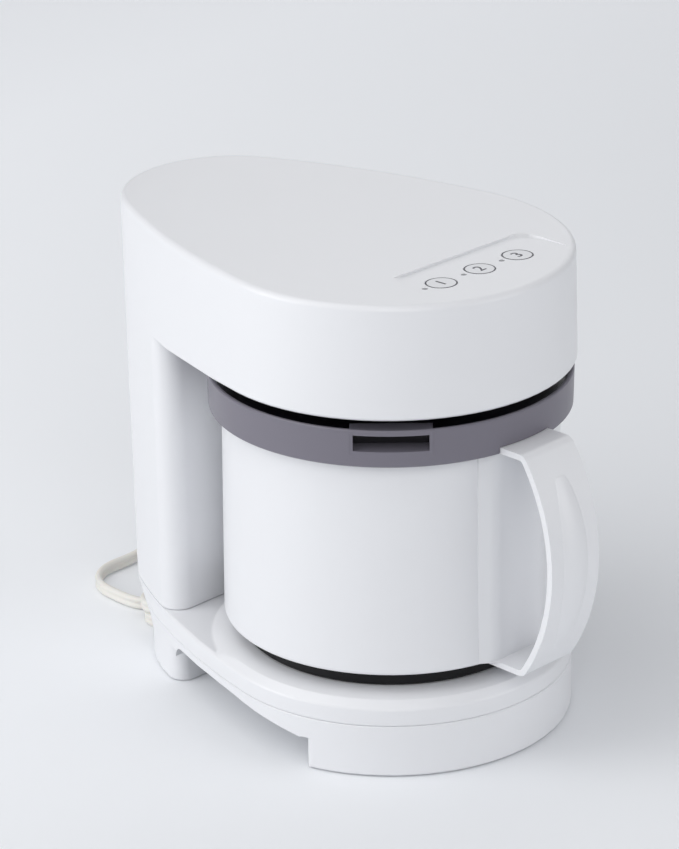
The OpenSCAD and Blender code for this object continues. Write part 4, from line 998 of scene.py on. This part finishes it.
@dataclass
class Jug:
    """White jug with its metal pot, black foot ring, handle and grey lid."""

    axis_mm: tuple = (0.0, -19.65)
    window_bearing: float = -136.0
    window_back_mm: float = 71.15
    window_mm: tuple = (0.4, 32.8, 7.2)
    window_z_mm: float = 160.5

    def window_lining(self) -> None:
        """Set a thin black plate against the back of the lid ring's window, which paints the shade in the window's
        pocket.
        """
        shell = bmesh.new()
        bmesh.ops.create_cube(shell, size=1.0, matrix=Matrix.Diagonal([size * MM for size in self.window_mm] + [1.0]))
        turn = Matrix.Rotation(math.radians(self.window_bearing), 4, "Z")
        out = Matrix.Translation(((self.window_back_mm + self.window_mm[0] / 2) * MM, 0, self.window_z_mm * MM))
        middle = Matrix.Translation((self.axis_mm[0] * MM, self.axis_mm[1] * MM, 0))
        bmesh.ops.transform(shell, matrix=middle @ turn @ out, verts=shell.verts)
        plate = new_object("window_lining", mesh_from(shell, "window_lining", False), Finish.BLACK_PP)
        mount(plate, "jug", Finish.BLACK_PP)

    def make(self) -> None:
        """Build the jug's skins and dress its inner pieces."""
        Skin("jug_shell", "jug_wall", Finish.WHITE_ABS, 0.3).make()
        HandleSkin("handle", "jug_handle", Finish.WHITE_ABS, 0.7, 30.0, 3).make()
        Skin("jug_foot", "jug_foot_ring", Finish.BLACK_FOOT, 0.3).make()
        Skin("lid_ring", "lid_rim", Finish.RING_PP, 0.5, 30.0).make()
        # painted shade: a black plate darkens the pocket behind the window
        self.window_lining()
        Skin("lid_plate", "lid_top", Finish.BLACK_PP, 0.3).make()
        Skin("inner_pot", "soup_pot", Finish.STEEL, 0.0).make()
        dress(Finish.GREY_RUBBER, ["lid_seal"])
        dress(Finish.STEEL, ["shaft_tube"])
        dress(Finish.BUSH, ["shaft_bushes"])
        dress(Finish.ZINC, ["handle_screws"])


@dataclass
class Drive:
    """Motor's turning parts and the cutter that they drive."""

    def make(self) -> None:
        """Dress the turning pieces."""
        dress(Finish.STEEL, ["motor_shaft", "cutter_shaft", "cutter_blade", "cutter_nut"])
        dress(Finish.COPPER, ["rotor_core"])
        dress(Finish.NYLON, ["cooling_fan"])
        dress(Finish.BLACK_PP, ["driver_hub", "drive_tongue"])


# ---- studio -------------------------------------------------------------------------------------


@dataclass
class Lamp:
    """A soft rectangular lamp that looks at the appliance."""

    name: str
    at: tuple
    size: float
    power: float
    colour: tuple = (1.0, 1.0, 1.0)
    aim: tuple = (0.0, 0.0, 0.1)

    def make(self) -> bpy.types.Object:
        """Hang the lamp.

        Returns:
            The lamp's object.
        """
        light = bpy.data.lights.new(self.name, "AREA")
        light.shape = "SQUARE"
        light.size = self.size
        light.energy = self.power
        light.color = self.colour
        lamp = bpy.data.objects.new(self.name, light)
        bpy.context.scene.collection.objects.link(lamp)
        lamp.location = self.at
        lamp.rotation_euler = (Vector(self.aim) - Vector(self.at)).to_track_quat("-Z", "Y").to_euler()
        return lamp


@dataclass
class Studio:
    """Camera, pale floor, soft lamps and a plain world."""

    eye: tuple = (-1.06515, -1.04825, 0.74419)
    right: tuple = (0.702364, -0.711719, -0.011855)
    up: tuple = (0.278062, 0.259001, 0.924986)
    lens: float = 150.15
    sensor_mm: float = 36.0
    floor_colour: str = "#f1f3f6"
    sweep_m: tuple = (9.0, -9.0, 4.0, 1.5, 6.0)
    sweep_turn: float = -45.0
    glow_colour: str = "#f4f6fb"
    sky_colour: str = "#fafbff"
    # painted light on the paper: emission that grows from near the appliance towards the far left
    lift_from: float = 0.03
    lift_along: tuple = (-0.032, 0.209, 0.0)
    lift_most: float = 0.18
    ambient: float = 0.26
    lamps: list = field(default_factory=lambda: [
        Lamp("large left softbox", (-1.75, 0.75, 1.1), 2.0, 20.0),
        Lamp("front fill", (-1.3, -1.5, 1.5), 1.5, 12.0),
        Lamp("right fill", (0.8, -1.7, 0.7), 1.2, 8.0),
        Lamp("back fill", (1.6, 0.9, 1.3), 1.7, 6.0),
        Lamp("low left strip", (-1.5, 0.9, 0.35), 0.8, 4.0),
        Lamp("overhead softbox", (-0.6, 0.3, 2.2), 1.4, 9.0),
    ])

    def camera(self) -> None:
        """Place the camera by its axes."""
        data = bpy.data.cameras.new("camera")
        data.sensor_fit = "VERTICAL"
        data.sensor_height = self.sensor_mm
        data.lens = self.lens
        data.clip_start = 0.05
        data.clip_end = 50.0
        eye = bpy.data.objects.new("camera", data)
        bpy.context.scene.collection.objects.link(eye)
        side, up = Vector(self.right), Vector(self.up)
        turn = Matrix((side, up, side.cross(up))).transposed().to_4x4()
        eye.matrix_world = Matrix.Translation(self.eye) @ turn
        bpy.context.scene.camera = eye

    def floor(self) -> None:
        """Lay the pale floor, which rises far behind in a sweep."""
        shell = bmesh.new()
        across, near, far, bend, top = self.sweep_m
        line = [(near, 0.0), (far, 0.0)]
        line += [(far + bend * math.sin(math.radians(a)), bend - bend * math.cos(math.radians(a)))
                 for a in range(10, 91, 10)]
        line.append((far + bend, top))
        rows = [[shell.verts.new((x, y, z)) for x in (-across, across)] for y, z in line]
        for one, two in zip(rows, rows[1:]):
            shell.faces.new((one[0], one[1], two[1], two[0]))
        for face in shell.faces:
            face.smooth = True
        mesh = bpy.data.meshes.new("studio_floor")
        shell.to_mesh(mesh)
        shell.free()
        material = bpy.data.materials.new("matt studio paper")
        material.use_nodes = True
        shader = material.node_tree.nodes["Principled BSDF"]
        shader.inputs["Base Color"].default_value = linear(self.floor_colour)
        shader.inputs["Roughness"].default_value = 0.9
        shader.inputs["Specular IOR Level"].default_value = 0.1
        self.lift(material.node_tree, shader)
        mesh.materials.append(material)
        ground = bpy.data.objects.new("studio_floor", mesh)
        bpy.context.scene.collection.objects.link(ground)
        mesh.transform(Matrix.Rotation(math.radians(self.sweep_turn), 4, "Z"))

    def lift(self, tree: bpy.types.NodeTree, shader: bpy.types.Node) -> None:
        """Paint light onto the paper for the eye and in mirrors: faint near the appliance, strongest far off on the
        left.

        Args:
            tree: Node tree of the paper.
            shader: The paper's own shader.
        """
        ray = add_node(tree, "ShaderNodeLightPath")
        seen = add_node(tree, "ShaderNodeMath", {
            0: ray.outputs["Is Camera Ray"], 1: ray.outputs["Is Glossy Ray"]}, operation="MAXIMUM")
        clear = add_node(tree, "ShaderNodeMath", {
            0: seen.outputs["Value"], 1: ray.outputs["Is Transmission Ray"]}, operation="MAXIMUM")
        place = add_node(tree, "ShaderNodeTexCoord").outputs["Object"]
        along = add_node(tree, "ShaderNodeVectorMath", {0: place, 1: self.lift_along}, operation="DOT_PRODUCT")
        spread = add_node(tree, "ShaderNodeMapRange", {
            "Value": along.outputs["Value"], "From Min": -self.lift_from,
            "From Max": self.lift_most - self.lift_from, "To Min": 0.0, "To Max": self.lift_most})
        strength = add_node(tree, "ShaderNodeMath", {
            0: clear.outputs["Value"], 1: spread.outputs["Result"]}, operation="MULTIPLY")
        glow = add_node(tree, "ShaderNodeEmission", {
            "Color": linear(self.glow_colour), "Strength": strength.outputs["Value"]})
        both = add_node(tree, "ShaderNodeAddShader", {0: shader.outputs["BSDF"], 1: glow.outputs["Emission"]})
        tree.links.new(both.outputs["Shader"], tree.nodes["Material Output"].inputs["Surface"])

    def world(self) -> None:
        """Fill the shadows with an even grey sky."""
        sky = bpy.data.worlds.new("studio air")
        sky.use_nodes = True
        back = sky.node_tree.nodes["Background"]
        back.inputs["Color"].default_value = linear(self.sky_colour)
        back.inputs["Strength"].default_value = self.ambient
        bpy.context.scene.world = sky

    def make(self) -> None:
        """Set up the floor, the lamps and the view settings."""
        self.floor()
        self.world()
        for lamp in self.lamps:
            lamp.make()
        bpy.context.scene.view_settings.view_transform = "Standard"


def main() -> None:
    """Build every sub-assembly in order."""
    logging.basicConfig(level=logging.INFO, format="%(name)s: %(message)s")
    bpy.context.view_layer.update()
    studio = Studio()
    studio.camera()
    MainsLead().make()
    for part in (Housing(), ControlPanel(), Base(), Jug(), Drive()):
        part.make()
    studio.make()


if __name__ == "__main__":
    main()
